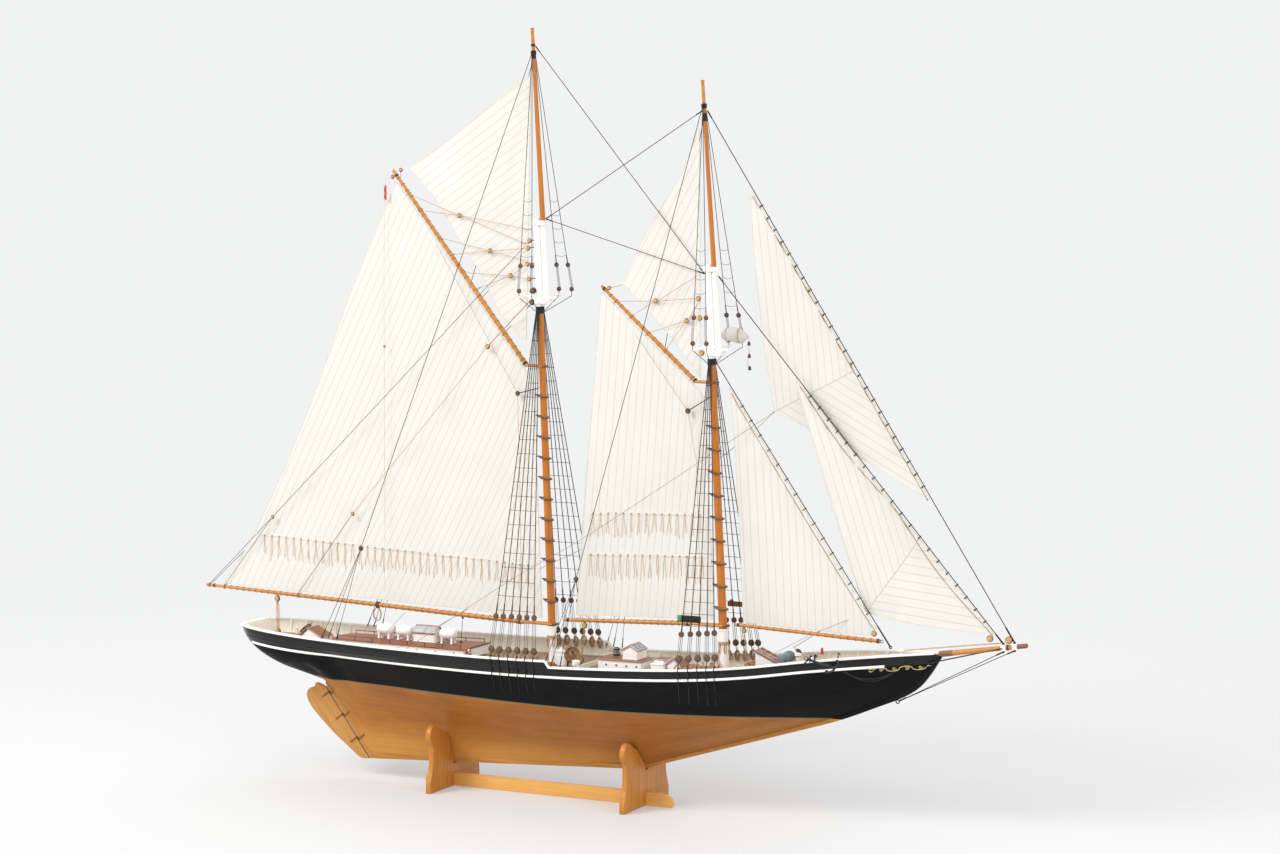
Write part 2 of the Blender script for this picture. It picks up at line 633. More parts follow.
def skin_ring(x, inset):
    """Half a section at one station, from the rail down to the keel."""
    low, top = RABBET(x), rail_z(x)
    moulding = max(SHEER(x) - MOULDING_DROP, low + 0.4)
    heights = [mix(low, moulding, share) for share in SKIN_ROWS]
    heights += [mix(moulding, top, k / 5) for k in range(1, 6)]
    return [(x + lean(x, z), max(half_breadth(x, z) - inset, 0.8), z) for z in reversed(heights)]


def add_hull_skin():
    """The planked shell: outer skin, inner skin and the rail's top edge between them."""
    shape = Shape()
    xs = hull_stations()
    rows = len(skin_ring(0, 0))
    for inset, ends in ((0.0, (STERN_X, BOW_X)), (PLANKING, (STERN_X + 4, BOW_X - 9))):
        rings = []
        for x in xs:
            half = skin_ring(min(max(x, ends[0]), ends[1]) if inset else x, inset)
            rings.append(half + [(px, -py, pz) for px, py, pz in reversed(half)])
        shape.skin(rings, 0, ends=True, closed=False)
    count = 2 * rows
    inner = count * len(xs)
    for i in range(len(xs) - 1):
        for side in (0, count - 1):
            a = i * count + side
            shape.faces.append([a, a + count, a + count + inner, a + inner])
            shape.finishes.append(2)
    for i in (0, len(xs) - 1):
        a = i * count
        shape.faces.append([a, a + count - 1, a + count - 1 + inner, a + inner])
        shape.finishes.append(2)
    finishes = [BLACK_SATIN, BLACK_GLOSS, CREAM, BOTTOM, BOOT_GREEN]
    made = shape.mesh_object("hull_skin", finishes, sharp=50)
    paint_hull(made)
    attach(made, "hull")
    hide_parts("hull_planking")


def paint_hull(made):
    """Cuts the skin at the paint lines, gives each face its finish and counts the planks up each side."""
    work = bmesh.new()
    work.from_mesh(made.data)
    for z in (WATERLINE, WATERLINE + 0.9):
        everything = work.verts[:] + work.edges[:] + work.faces[:]
        bmesh.ops.bisect_plane(work, geom=everything, plane_co=(0, 0, z * MM), plane_no=(0, 0, 1),
                               dist=1e-7)
    for face in work.faces:
        x, y, z = (c / MM for c in face.calc_center_median())
        inboard = face.material_index == 2 or is_inboard(face, x, y, z)
        if inboard:
            face.material_index = 2
        elif z < WATERLINE:
            face.material_index = 3
        elif z < WATERLINE + 0.9:
            face.material_index = 4
        else:
            face.material_index = 1 if z > SHEER(x) - MOULDING_DROP else 0
    work.to_mesh(made.data)
    work.free()
    count = made.data.attributes.new("plank", "FLOAT", "POINT")
    values = []
    for v in made.data.vertices:
        x, z = v.co.x / MM, v.co.z / MM
        values.append(PLANKS_PER_SIDE * (z - RABBET(x)) / (SHEER(x) - RABBET(x)))
    count.data.foreach_set("value", values)


def is_inboard(face, x, y, z):
    """True for the faces that look at the centre plane or along the inner end walls."""
    if abs(y) < 3 and x < STERN_X + 12:
        return face.normal.x > 0.3
    return face.normal.y * y < 0 and z > SHEER(x) - 22

# ---------------------------------------------------------------- rails, moulding, decks and keel


def band(shape, path, inner, outer, low, high, finish=0, soft=0.35):
    """A strip with rounded outer edges along a path seen in plan, its outer side on the right."""
    rings = []
    for i, p in enumerate(path):
        a, b = path[max(i - 1, 0)], path[min(i + 1, len(path) - 1)]
        run = Vector((b[0] - a[0], b[1] - a[1], 0)).normalized()
        out = Vector((run.y, -run.x, 0))
        middle = Vector(p)
        edge = min(soft, (high - low) / 3)
        section = [(inner, low), (outer - edge, low), (outer, low + edge), (outer, high - edge),
                   (outer - edge, high), (inner + edge, high), (inner, high - edge)]
        rings.append([middle + out * o + Vector((0, 0, h)) for o, h in section])
    shape.skin(rings, finish)


def rail_path():
    """The rail's line in plan and height, from the port bow round the stern to the starboard bow."""
    port = [(x + lean(x, rail_z(x)), DECK_HALF(x), rail_z(x)) for x in reversed(hull_stations(-342, 341))]
    stern = [(-345.4, 24.5, rail_z(-346)), (-346.8, 20.5, rail_z(-346)), (-347.2, 10, rail_z(-346))]
    stern.append((-347.3, 0, rail_z(-346)))
    half = port + stern
    return half + [(x, -y, z) for x, y, z in reversed(half[:-1])]


def add_rails():
    rail = Shape()
    path = rail_path()
    band(rail, path, -3.4, 1.1, 0.05, 1.75)
    rail.box(338, 344.5, -2.2, 2.2, 155.6, 157.6)
    rail.piece("cap_rail_band", "hull", "rail_paint", [WHITE], ["cap_rail"])

    moulding = Shape()
    for side in (1, -1):
        line = []
        for x in hull_stations(-332, 301):
            z = SHEER(x) - MOULDING_DROP
            line.append((x + lean(x, z), side * half_breadth(x, z), z))
        band(moulding, line[::-1] if side > 0 else line, -0.6, 1.0, -MOULDING_HALF, MOULDING_HALF, soft=0.5)
    moulding.piece("sheer_moulding", "hull", "rail_paint", [WHITE])

    rub = Shape()
    for side in (1, -1):
        for drop, width in ((2.4, 0.5), (-2.2, 0.45)):
            line = []
            for x in hull_stations(-338, 300 if drop > 0 else -4):
                z = SHEER(x) - drop
                line.append((x + lean(x, z), side * half_breadth(x, z), z))
            band(rub, line[::-1] if side > 0 else line, -0.5, width, -0.5, 0.5, soft=0.2)
    rub.piece("wale_beads", "hull", "hull_paint", [BLACK_GLOSS])


def deck_z(x):
    return SHEER(x) - (6.5 if x < BREAK_X else 10.5)


def add_bulwark_inside():
    """Waterways along the deck's edges and timber heads up the inside of the bulwarks."""
    timber = Shape()
    for side in (1, -1):
        for start, end in ((-330, BREAK_X - 2), (BREAK_X + 1, 318)):
            line = [(x, side * (half_breadth(x, deck_z(x)) - PLANKING),
                     deck_z(x)) for x in hull_stations(start, end)]
            band(timber, line[::-1] if side > 0 else line, -3.2, 0.4, -0.3, 1.0)
        for x in stations(-326, 306, 14.7):
            if abs(x - BREAK_X) < 6:
                continue
            low, high = deck_z(x) + 0.6, rail_z(x) + 0.3
            rings = []
            for z in (low, (low + high) / 2, high):
                y = side * (half_breadth(x, z) - PLANKING)
                rings.append([(x - 0.9, y + side * 0.5, z), (x + 0.9, y + side * 0.5, z),
                              (x + 0.9, y - side * 1.5, z), (x - 0.9, y - side * 1.5, z)])
            timber.skin(rings)
    riser = [(BREAK_X - 2.2, deck_z(10) - 0.5), (BREAK_X - 0.7, deck_z(10) - 0.5),
             (BREAK_X - 0.7, deck_z(0) + 0.2), (BREAK_X - 2.2, deck_z(0) + 0.2)]
    half = DECK_HALF(BREAK_X) - PLANKING - 0.5
    timber.slab(riser, -half, half, "y")
    timber.piece("bulwark_timbers", "hull", "rail_paint", [CREAM])


def stem_finish():
    """The backbone is varnished below the waterline and black above it."""
    f = Finish("keel_and_stem_finish", 0.45, shine=0.12)
    above = f.ranged(axis_value(f, "Z"), WATERLINE * MM, (WATERLINE + 0.2) * MM)
    streaks = f.noise(f.mapped((18, 420, 420)), detail=6, roughness=0.62)
    varnish = f.between(f.ranged(streaks, 0.3, 0.7), (0.36, 0.15, 0.03), (0.52, 0.25, 0.065))
    f.colour(f.between(above, varnish, (0.006, 0.0058, 0.0058)))
    f.bump(streaks, 0.12, 0.0002)
    return f.material


def assign(nodes, finish):
    for name in nodes:
        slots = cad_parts[name].data.materials
        slots.clear()
        slots.append(finish)


KEEL_TURNS = [(-266, 84.5), (-216.4, 17.4), (67, 32.4)]  # top of the sternpost, heel and fore heel
STEM_FACE = smooth([KEEL_TURNS[2], [80.4, 37], [220, 80.4], [256, 92], [291, 106.4], [314, 116.6],
                    [328, 126.4], [338, 138.8], [346.5, 152.6]])


def keel_underside(x):
    for (x0, z0), (x1, z1) in zip(KEEL_TURNS, KEEL_TURNS[1:]):
        if x < x1:
            return mix(z0, z1, (x - x0) / (x1 - x0))
    return STEM_FACE(x)


def add_keel():
    """The backbone, with the stem's face rounded up from the fore heel to its head."""
    rings = []
    xs = stations(-266, -216.4, 3) + stations(-210, 67, 10)
    for x in xs + stations(72, 290, 8) + stations(293, 346.5, 2):
        low, top = keel_underside(x), max(RABBET(min(x, BOW_X)) + 0.8, keel_underside(x) + 1)
        rings.append([(x, -KEEL_HALF, low), (x, KEEL_HALF, low), (x, KEEL_HALF, top), (x, -KEEL_HALF, top)])
    backbone = Shape()
    backbone.skin(rings)
    backbone.piece("keel_and_stem_timber", "hull", "keel_wood", [stem_finish()], ["keel_and_stem"],
                   bevel=0.3)


def add_decks_and_keel():
    assign(["quarter_deck", "main_deck"], DECK)
    add_keel()
    assign(["centre_plate", "bulkhead_1", "bulkhead_2", "bulkhead_3"], PLY)


# ---------------------------------------------------------------- rudder

POST_TOP = Vector((-266, 0, 84.5))
HEEL = Vector((-216.4, 0, 17.4))
POST_DOWN = (HEEL - POST_TOP).normalized()
POST_FORE = Vector((-POST_DOWN.z, 0, POST_DOWN.x))
PINTLE_AFT = 1.3
GUDGEONS = [10, 35, 61]


def on_post(down, fore, y=0.0):
    """A place by its length down the sternpost and its distance forward of the pintle line."""
    return POST_TOP + POST_DOWN * down + POST_FORE * (fore - PINTLE_AFT) + Vector((0, y, 0))


def add_rudder():
    blade = Shape()
    top, foot = on_post(2.5, -1.1), on_post(82.4, -1.1)
    aft_edge = rounded([(foot.x, 0, foot.z), (-226, 0, 16.6), (-231, 0, 18.6), (-240, 0, 25.2),
                        (-256.1, 0, 37.2),
                        (-268, 0, 47.4), (-275.6, 0, 54.5), (-282.3, 0, 61.6), (-286.6, 0, 68.4),
                        (-287.3, 0, 74.6),
                        (-284, 0, 78.8), (-278.6, 0, 81), (-276.6, 0, 84.6), (top.x, 0, top.z)], 4)
    blade.slab([(p.x, p.z) for p in aft_edge], -1.7, 1.7, "y")
    blade.piece("rudder_blade", "rudder_body", "rudder_wood", [RUDDER_WOOD], ["rudder"], bevel=0.35,
                sharp=50)

    hung = Shape()
    for down in GUDGEONS:
        for y in (-1.95, 1.95):
            for rise in (-2.2, -1.3):
                hung.tube([on_post(down + rise, -0.9, y), on_post(down + rise, -9.4, y)], 0.28, 6)
        for rise in (-2.2, -1.3):
            hung.tube([on_post(down + rise, -0.9, -1.95), on_post(down + rise, -0.5, 0),
                       on_post(down + rise, -0.9, 1.95)], 0.28, 6)
        hung.tube([on_post(down - 2.7, 0), on_post(down + 1.6, 0)], 0.45, 8)
    hung.piece("rudder_straps", "rudder_body", "rudder_brass", [DARK_BRONZE])

    for i, down in enumerate(GUDGEONS):
        held = Shape()
        for y in (-1, 1):
            for rise in (0.15, 1.05):
                side = [on_post(down + rise, reach, y * out) for reach, out in
                        ((0.75, 0.75), (1.5, 2.5), (2.4, 2.95), (9.2, 3.15))]
                held.tube(side, 0.28, 6)
        held.ring(on_post(down + 0.6, 0), POST_DOWN, 0.85, 0.3, 12)
        held.piece(f"gudgeon_strap_{i + 1}", "hull", "rudder_brass", [DARK_BRONZE], [f"gudgeon_{i + 1}"])


# ---------------------------------------------------------------- stand

CRADLES = {"stand_aft_cradle": (-131.7, 21.2), "stand_fore_cradle": (65, 32.2)}
CRADLE_THICK = 5
BOARD_HALF = 2.5
BOARD_HEIGHT = 12
BOARD_NOSE = 26


def cradle_outline(x, keel_z):
    """Half a cradle as [y, z]: foot, hollow side, round lobe, and an inner edge beside the hull."""
    outer = rounded([(45.5, 9, 0), (43.4, 14.5, 0), (41, 20.5, 0), (39.5, 29, 0), (39.4, 37, 0),
                     (40.6, 43, 0), (44.4, 48, 0), (45.4, 52.5, 0), (43.8, 57.8, 0), (40.2, 61.2, 0),
                     (35.8, 61.8, 0), (31.4, 59.4, 0)], 5)
    edge = [(2.8, 0), (45.1, 0), (45.5, 0.6)] + [(p.x, p.y) for p in outer]
    z = 58.0
    while z > RABBET(x) + 2:
        hull_side = max(half_breadth(x, z), half_breadth(x + CRADLE_THICK, z)) + 0.7
        edge.append((max(hull_side, 29 - (58 - z) * 1.9), z))
        z -= 1.5
    edge += [(KEEL_HALF + 0.4, RABBET(x) + 1.5), (KEEL_HALF + 0.4, keel_z - 0.3)]
    return edge


def add_stand():
    for name, (x, keel_z) in CRADLES.items():
        shape = Shape()
        half = cradle_outline(x, keel_z)
        slot = [(2.8, BOARD_HEIGHT + 0.3)]
        ring = slot + half + [(-y, z) for y, z in reversed(half)] + [(-2.8, BOARD_HEIGHT + 0.3)]
        shape.slab(ring, x, x + CRADLE_THICK, "x")
        shape.piece(name + "_board", "stand", "stand_wood", [STAND_Z], [name], bevel=0.45, sharp=40)
    aft, fore = -131.7 - BOARD_NOSE, 65 + CRADLE_THICK + BOARD_NOSE
    nose = [(aft + 1.2, 0), (aft, 3), (aft + 1.4, 7), (aft + 5.5, 10.4), (aft + 13, 12)]
    line = [(p.x, p.y) for p in rounded([(x, z, 0) for x, z in nose], 5)]
    shape = Shape()
    shape.slab(line + [(aft + fore - x, z) for x, z in reversed(line)], -BOARD_HALF, BOARD_HALF, "y")
    shape.piece("stand_long_board", "stand", "stand_wood", [STAND_X], ["stand_centre_board"], bevel=0.45)

# ---------------------------------------------------------------- masts and spars, as in the CAD source


class Stick:
    """A tapered round spar in the centre plane, from foot to head as [x, z]."""

    def __init__(self, foot, head, radius, end_radius):
        self.foot, self.head = Vector((foot[0], 0, foot[1])), Vector((head[0], 0, head[1]))
        self.radius, self.end_radius = radius, end_radius
        self.run = (self.head - self.foot).normalized()

    def share_at(self, value, axis="z"):
        a, b = getattr(self.foot, axis), getattr(self.head, axis)
        return (value - a) / (b - a)

    def at(self, share, out=(0, 0, 0)):
        return self.foot.lerp(self.head, share) + Vector(out)

    def at_z(self, z, forward=0.0, y=0.0):
        return self.at(self.share_at(z), (forward, y, 0))

    def at_x(self, x):
        return self.at(self.share_at(x, "x"))

    def thick(self, share):
        return mix(self.radius, self.end_radius, share)

    def section(self, shape, a, b, finish=0, grow=0.0, sides=24, axis="z"):
        """One painted or bare length of the stick between two heights."""
        shares = [self.share_at(a, axis), self.share_at(b, axis)]
        count = max(2, round(abs(shares[1] - shares[0]) * 12) + 1)
        steps = [mix(*shares, k / (count - 1)) for k in range(count)]
        shape.tube([self.at(t) for t in steps], [self.thick(t) + grow for t in steps], sides, finish)


MAIN_LOWER = Stick([-22.2, 75], [-39.8, 522], 3.7, 2.9)
MAIN_TOP = Stick([-29.2, 445], [-43.9, 691.4], 2.8, 1.6)
FORE_LOWER = Stick([148.3, 75], [129, 482], 4, 2.9)
FORE_TOP = Stick([140, 403], [123.4, 641.6], 2.5, 1.6)
MAIN_BOOM = Stick([-54, 156.7], [-400.8, 170.3], 2.3, 1.5)
MAIN_GAFF = Stick([-50.3, 389.6], [-188.8, 565.6], 2.3, 1.6)
FORE_BOOM = Stick([112, 166.3], [-11.9, 161.4], 2.1, 1.6)
FORE_GAFF = Stick([117.9, 379.5], [25.5, 462], 2.1, 1.5)
STAY_BOOM = Stick([290.9, 162.5], [155.7, 168], 1.8, 1.4)
BOWSPRIT = Stick([262, 141.9], [421.3, 167.7], 3.1, 1.9)
MAIN_TREES, FORE_TREES = 450, 407
TREE_HALF = 40


def add_masts():
    wood_and_paint = [SPAR["mast"], WHITE, IRON, TARRED]
    for name, stick, deck, boot, paint_from, top in (
            ("main_lower_mast", MAIN_LOWER, 100, 154, 439, 522),
            ("fore_lower_mast", FORE_LOWER, 100, 162.7, 398, 482)):
        shape = Shape()
        stick.section(shape, deck, boot, 1, 0.25)
        stick.section(shape, boot, paint_from, 0)
        stick.section(shape, paint_from, top, 1, 0.1)
        stick.section(shape, boot - 0.8, boot + 0.9, 1, 0.9)
        stick.section(shape, paint_from - 2.2, paint_from + 0.4, 3, 0.35)
        coat = deck_z(stick.at_z(130).x)
        stick.section(shape, coat, coat + 2.4, 1, 1.5)
        shape.piece(name + "_turned", "hull", "spar_wood", wood_and_paint, [name], sharp=50)
    for name, stick, cap, wrap, pole in (
            ("main_topmast", MAIN_TOP, 517, 664, 682), ("fore_topmast", FORE_TOP, 477, 606, 623)):
        shape = Shape()
        stick.section(shape, stick.foot.z, cap, 1, 0.05)
        stick.section(shape, cap, wrap, 0)
        stick.section(shape, wrap, wrap + 7, 3, 0.45)
        stick.section(shape, wrap + 7, pole, 0, -0.1)
        stick.section(shape, wrap + 11, wrap + 13, 3, 0.3)
        stick.section(shape, pole, stick.head.z - 0.8, 4, -0.15)
        head = stick.at_z(stick.head.z - 1)
        shape.lathe(head, stick.run, [(1.3, 0), (1.9, 0.15), (1.9, 0.8), (0.5, 1.0)], 16, 4)
        shape.piece(name + "_turned", "hull", "spar_wood", wood_and_paint + [SPAR["boom"]], [name],
                    sharp=50)


def add_caps_and_trees():
    for prefix, lower, upper, trees in (("main", MAIN_LOWER, MAIN_TOP, MAIN_TREES),
                                        ("fore", FORE_LOWER, FORE_TOP, FORE_TREES)):
        cap = Shape()
        z = lower.head.z - 6
        aft, fore = lower.at_z(z).x, upper.at_z(z).x
        half = math.pi / 2
        ring = [(aft + 5 * math.cos(a), 4.6 * math.sin(a)) for a in stations(half, 3 * half, 0.35)]
        ring += [(fore + 4.6 * math.cos(a), 4.6 * math.sin(a)) for a in stations(-half, half, 0.35)]
        cap.slab(ring, z, z + 4, "z")
        cap.piece(prefix + "_cap_block", "hull", "mast_paint", [WHITE], [prefix + "_mast_cap"], bevel=0.3)
        tree = Shape()
        aft, fore = lower.at_z(trees).x - 7, upper.at_z(trees).x + 7
        for y in (-4.2, 4.2):
            profile = [(aft, trees + 0.6), (aft + 3, trees - 0.6), (fore - 3, trees - 0.6),
                       (fore, trees + 0.6), (fore, trees + 2.4), (aft, trees + 2.4)]
            tree.slab(profile, y - 0.9, y + 0.9, "y")
            tree.box(aft + 4, fore - 4, y - 0.7, y + 0.7, trees - 4, trees - 0.5)
        for x in (lower.at_z(trees).x + lower.thick(0.9) + 1.4, aft + 2.4):
            reach = TREE_HALF if x > aft + 3 else 9
            sweep = [(x - 3.5 * t * t, reach * t, trees + 3.0 - 0.5 * t * t)
                     for t in stations(-1, 1, 1 / 6)]
            tree.tube([Vector(p) for p in sweep], [mix(1.15, 0.75, abs(k) / 6) for k in range(-6, 7)], 8)
        tree.piece(prefix + "_trees", "hull", "mast_paint", [WHITE], [prefix + "_crosstrees"], bevel=0.2)


def jaws(shape, stick, mast, finish):
    """The forked end of a boom or gaff, half round its mast, with a row of parrel beads in front."""
    z = stick.foot.z
    centre = mast.at_z(z)
    radius = mast.thick(mast.share_at(z)) + 1.6
    start = stick.at(0.004)
    for side in (-1, 1):
        bend = [start + Vector((-1.5, side * 1.0, 0))]
        for a in stations(math.radians(150), math.radians(62), 0.25):
            bend.append(centre + Vector((radius * math.cos(a), side * radius * math.sin(a), 0)))
        shape.tube(bend, [1.3] * 2 + [1.1] * (len(bend) - 3) + [0.7], 8, finish)
    for a in stations(math.radians(-58), math.radians(58), 0.34):
        bead = centre + Vector(((radius + 0.2) * math.cos(a), (radius + 0.2) * math.sin(a), 0))
        shape.ball(bead, 0.85, finish=2, sides=8, rings=5)


def add_spars():
    for name, stick, mast, body, kind, slot in (
            ("main_boom", MAIN_BOOM, MAIN_LOWER, "main_rig", "boom", "spar_wood"),
            ("main_gaff", MAIN_GAFF, MAIN_LOWER, "main_rig", "gaff", "spar_wood"),
            ("fore_boom", FORE_BOOM, FORE_LOWER, "fore_rig", "boom", "spar_wood"),
            ("fore_gaff", FORE_GAFF, FORE_LOWER, "fore_rig", "gaff", "spar_wood"),
            ("staysail_boom", STAY_BOOM, None, "staysail_rig", "boom", "spar_wood")):
        shape = Shape()
        steps = [k / 14 for k in range(15)]
        belly = [stick.thick(t) * mix(0.86, 1.0, min(1, 4 * t * (1 - t) + 0.2)) for t in steps]
        shape.tube([stick.at(t) for t in steps], belly, 20, 0)
        shape.ball(stick.head, stick.end_radius * 0.86, stick.run, 0.7)
        for t in (0.012, 0.975):
            band_at = stick.at(t)
            ends = [band_at - stick.run * 0.8, band_at + stick.run * 0.8]
            shape.tube(ends, stick.thick(t) + 0.25, 20, 1)
        if mast:
            jaws(shape, stick, mast, 0)
        else:
            shape.ring(stick.foot + Vector((1.6, 0, 0)), (0, 1, 0), 1.3, 0.3, 12, 1)
        shape.piece(name + "_spar", body, slot, [SPAR[kind], IRON, DEADEYE], [name], sharp=50)

    shape = Shape()
    BOWSPRIT.section(shape, 300, 421.0, 0, axis="x")
    shape.ball(BOWSPRIT.head, 1.8, BOWSPRIT.run, 0.5, finish=3)
    for x, width, finish in ((399.2, 3.6, 1), (404.4, 1.2, 2), (409.4, 3.0, 2), (413.4, 7.4, 3),
                             (344.6, 12, 3)):
        BOWSPRIT.section(shape, x, x + width, finish, (0, 0.55, 0.4, 0.12)[finish], axis="x")
    for x in (400.8, 410.6):
        eye = BOWSPRIT.at_x(x)
        for up in (1, -1):
            shape.ring(eye + Vector((0, 0, up * 3.1)), (0, 1, 0), 1.0, 0.3, 12, 2)
    shape.piece("bowsprit_spar", "hull", "spar_wood", [SPAR["boom"], WHITE, IRON, DARK_WOOD], ["bowsprit"],
                sharp=50)


# ---------------------------------------------------------------- sails


def walk(points, count):
    """Evenly spaced points along a line."""
    points = [Vector(p) for p in points]
    lengths = [0.0]
    for a, b in zip(points, points[1:]):
        lengths.append(lengths[-1] + (b - a).length)
    out = []
    for k in range(count):
        want = lengths[-1] * k / (count - 1)
        i = max(j for j in range(len(points) - 1) if lengths[j] <= want + 1e-9)
        out.append(points[i].lerp(points[i + 1], (want - lengths[i]) / (lengths[i + 1] - lengths[i])))
    return out


def edge(points, bowed=True):
    """An [x, z] edge of a sail as a smooth line in the centre plane."""
    placed = [(x, 0, z) for x, z in points]
    return rounded(placed, 6) if bowed and len(placed) > 2 else [Vector(p) for p in placed]


class Sail:
    """A sail between its four edges: foot from tack to clew, head from throat to peak, luff and leech
    upwards."""

    GRID = 41

    def __init__(self, name, body, foot, head, luff, leech, belly, side=lambda x, z: 0.0):
        self.name, self.body, self.belly, self.side = name, body, belly, side
        n = self.GRID
        self.foot, self.head = walk(foot, n), walk(head, n)
        self.luff, self.leech = walk(luff, n), walk(leech, n)
        self.grid = [[self.place(i, j) for i in range(n)] for j in range(n)]

    def place(self, i, j):
        s, t = i / (self.GRID - 1), j / (self.GRID - 1)
        p = self.foot[i] * (1 - t) + self.head[i] * t + self.luff[j] * (1 - s) + self.leech[j] * s
        p -= (self.foot[0] * (1 - s) + self.foot[-1] * s) * (1 - t)
        p -= (self.head[0] * (1 - s) + self.head[-1] * s) * t
        belly = self.belly * math.sin(math.pi * s ** 0.8) * math.sin(math.pi * min(1, t * 0.96 + 0.02))
        return Vector((p.x, self.side(p.x, p.z) + belly, p.z))

    def rim(self):
        g = self.grid
        n = self.GRID
        up = [g[j][-1] for j in range(1, n)]
        down = [g[j][0] for j in range(n - 2, 0, -1)]
        return g[0] + up + g[-1][-2::-1] + down

    def height(self, x, z):
        """How far to port the cloth is near a place."""
        near = min((p for row in self.grid[::2] for p in row[::2]),
                   key=lambda p: (p.x - x) ** 2 + (p.z - z) ** 2)
        return near.y

    def area(self):
        total = 0.0
        for a, b in zip(self.grid, self.grid[1:]):
            for i in range(self.GRID - 1):
                total += (a[i + 1] - a[i]).cross(b[i] - a[i]).length / 2
                total += (b[i + 1] - a[i + 1]).cross(b[i + 1] - b[i]).length / 2
        return total * MM * MM

    def make(self, finish, node, held_on, extras=()):
        n = self.GRID
        half = Vector((0, 0.16, 0))
        shape = Shape()
        for side in (1, -1):
            points = [p + half * side for row in self.grid for p in row]
            shape.add(points, [[j * n + i, j * n + i + 1, (j + 1) * n + i + 1, (j + 1) * n + i]
                               for j in range(n - 1) for i in range(n - 1)])
        rim = self.rim()
        shape.skin([[p + half for p in rim], [p - half for p in rim]], ends=False)
        cloth = shape.piece(node + "_cloth", self.body, "sailcloth", [finish], [node], sharp=70)
        hem = Shape()
        hem.tube(rim + rim[:1], 0.34, 6)
        hem_piece = hem.piece(node + "_boltrope", self.body, "sailcloth", [SAIL_ROPE])
        self.area()
        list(extras)
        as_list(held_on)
        return cloth


SAIL_ROPE = twisted("sail_boltrope", (0.78, 0.73, 0.62), (0.55, 0.48, 0.38))


def stay_side(top, foot, clew, reach):
    """Sideways set of a headsail: none at its stay, and reach at its clew."""
    def off(x, z):
        return (top[0] - foot[0]) * (z - foot[1]) - (top[1] - foot[1]) * (x - foot[0])

    return lambda x, z: reach * off(x, z) / off(*clew)


FORE_STAY = ([137.6, 396], [300.5, 158])
JIB_STAY = ([139, 472], [401.3, 167.2])
TOPMAST_STAY = ([128.2, 615], [411, 168.8])
JIB_CLEW = (275.9, 185.2)
JIB_TOPSAIL_CLEW = (186.4, 354.5)


def make_sails():
    sails = {}

    def sail(name, body, tack, clew, throat, peak, foot=(), luff=(), leech=(), **shape):
        """One sail, from its corners and the points between them along its edges."""
        sails[name] = Sail(name, body, foot=edge([tack, *foot, clew]), head=edge([throat, peak]),
                           luff=edge([tack, *luff, throat]), leech=edge([clew, *leech, peak]), **shape)

    sail("mainsail", "main_rig", tack=(-35.4, 161.6), clew=(-381.5, 173.2), throat=(-52.8, 386.4),
         peak=(-185.6, 555.4), foot=[(-200, 167.6)], luff=[(-39.6, 270), (-43.2, 366)],
         leech=[(-342.5, 228.8), (-286, 337), (-238.8, 446.7)], belly=3.2)
    sail("foresail", "fore_rig", tack=(136, 171), clew=(-0.5, 166.4), throat=(115.5, 377),
         peak=(24.5, 457.6), foot=[(70, 169.2)], luff=[(131, 262), (126, 358)],
         leech=[(7.5, 267.8), (17, 365)], belly=2.6)
    sail("main_topsail", "main_rig", tack=(-52, 413), clew=(-173.8, 568.2), throat=(-46.8, 647.5),
         peak=(-49.7, 649.7), luff=[(-49, 540)],
         foot=[(-56.9, 414.9), (-80.4, 439.6), (-97.8, 471.1), (-123.7, 507.2), (-144.4, 538.9)],
         leech=[(-127.8, 595), (-90.8, 621.6)], belly=1.2, side=lambda x, z: 2.3)
    sail("fore_topsail", "fore_rig", tack=(120.5, 384), clew=(45.4, 465.3), throat=(119.2, 597.4),
         peak=(117.6, 599.4), foot=[(85, 426)], luff=[(120.3, 490)],
         leech=[(69.1, 511.1), (102, 560.7)], belly=1.0, side=lambda x, z: 2.3)
    sail("staysail", "staysail_rig", tack=(287.4, 172.6), clew=(163.6, 170.8), throat=(153.0, 371.6),
         peak=(149.6, 375.6), foot=[(276, 167.4), (222, 168.6)],
         leech=[(159.3, 255.9), (153.4, 345)], belly=2.2)
    sail("jib", "hull", tack=(392.2, 175.4), clew=JIB_CLEW, throat=(216.8, 379.2), peak=(212, 380),
         foot=[(333, 178)], leech=[(243, 281)], belly=3.5, side=stay_side(*JIB_STAY, JIB_CLEW, 5))
    sail("jib_topsail", "hull", tack=(334.6, 286), clew=JIB_TOPSAIL_CLEW, throat=(172.2, 542.6),
         peak=(168.4, 546), foot=[(270, 318), (216.4, 342.8)], leech=[(174, 450)], belly=3.5,
         side=stay_side(*TOPMAST_STAY, JIB_TOPSAIL_CLEW, 13))
    return sails


SEAMS = {
    "mainsail": {"seams": (62.8,)},
    "foresail": {"seams": (85.2,)},
    "main_topsail": {"seams": (33.3,)},
    "fore_topsail": {"seams": (61,)},
    "staysail": {"seams": (93.4,)},
    "jib": {"seams": (108, -5), "mitre": (JIB_CLEW, 53.6)},
    "jib_topsail": {"seams": (95, -27.5), "mitre": (JIB_TOPSAIL_CLEW, 26)},
}
HELD_ON = {
    "mainsail": ["main_boom", "main_gaff"], "foresail": ["fore_boom", "fore_gaff"],
    "main_topsail": ["main_gaff", "main_topmast"], "fore_topsail": ["fore_gaff", "fore_topmast"],
    "staysail": ["staysail_boom", "forestay"], "jib": ["head_stays"], "jib_topsail": ["head_stays"],
}


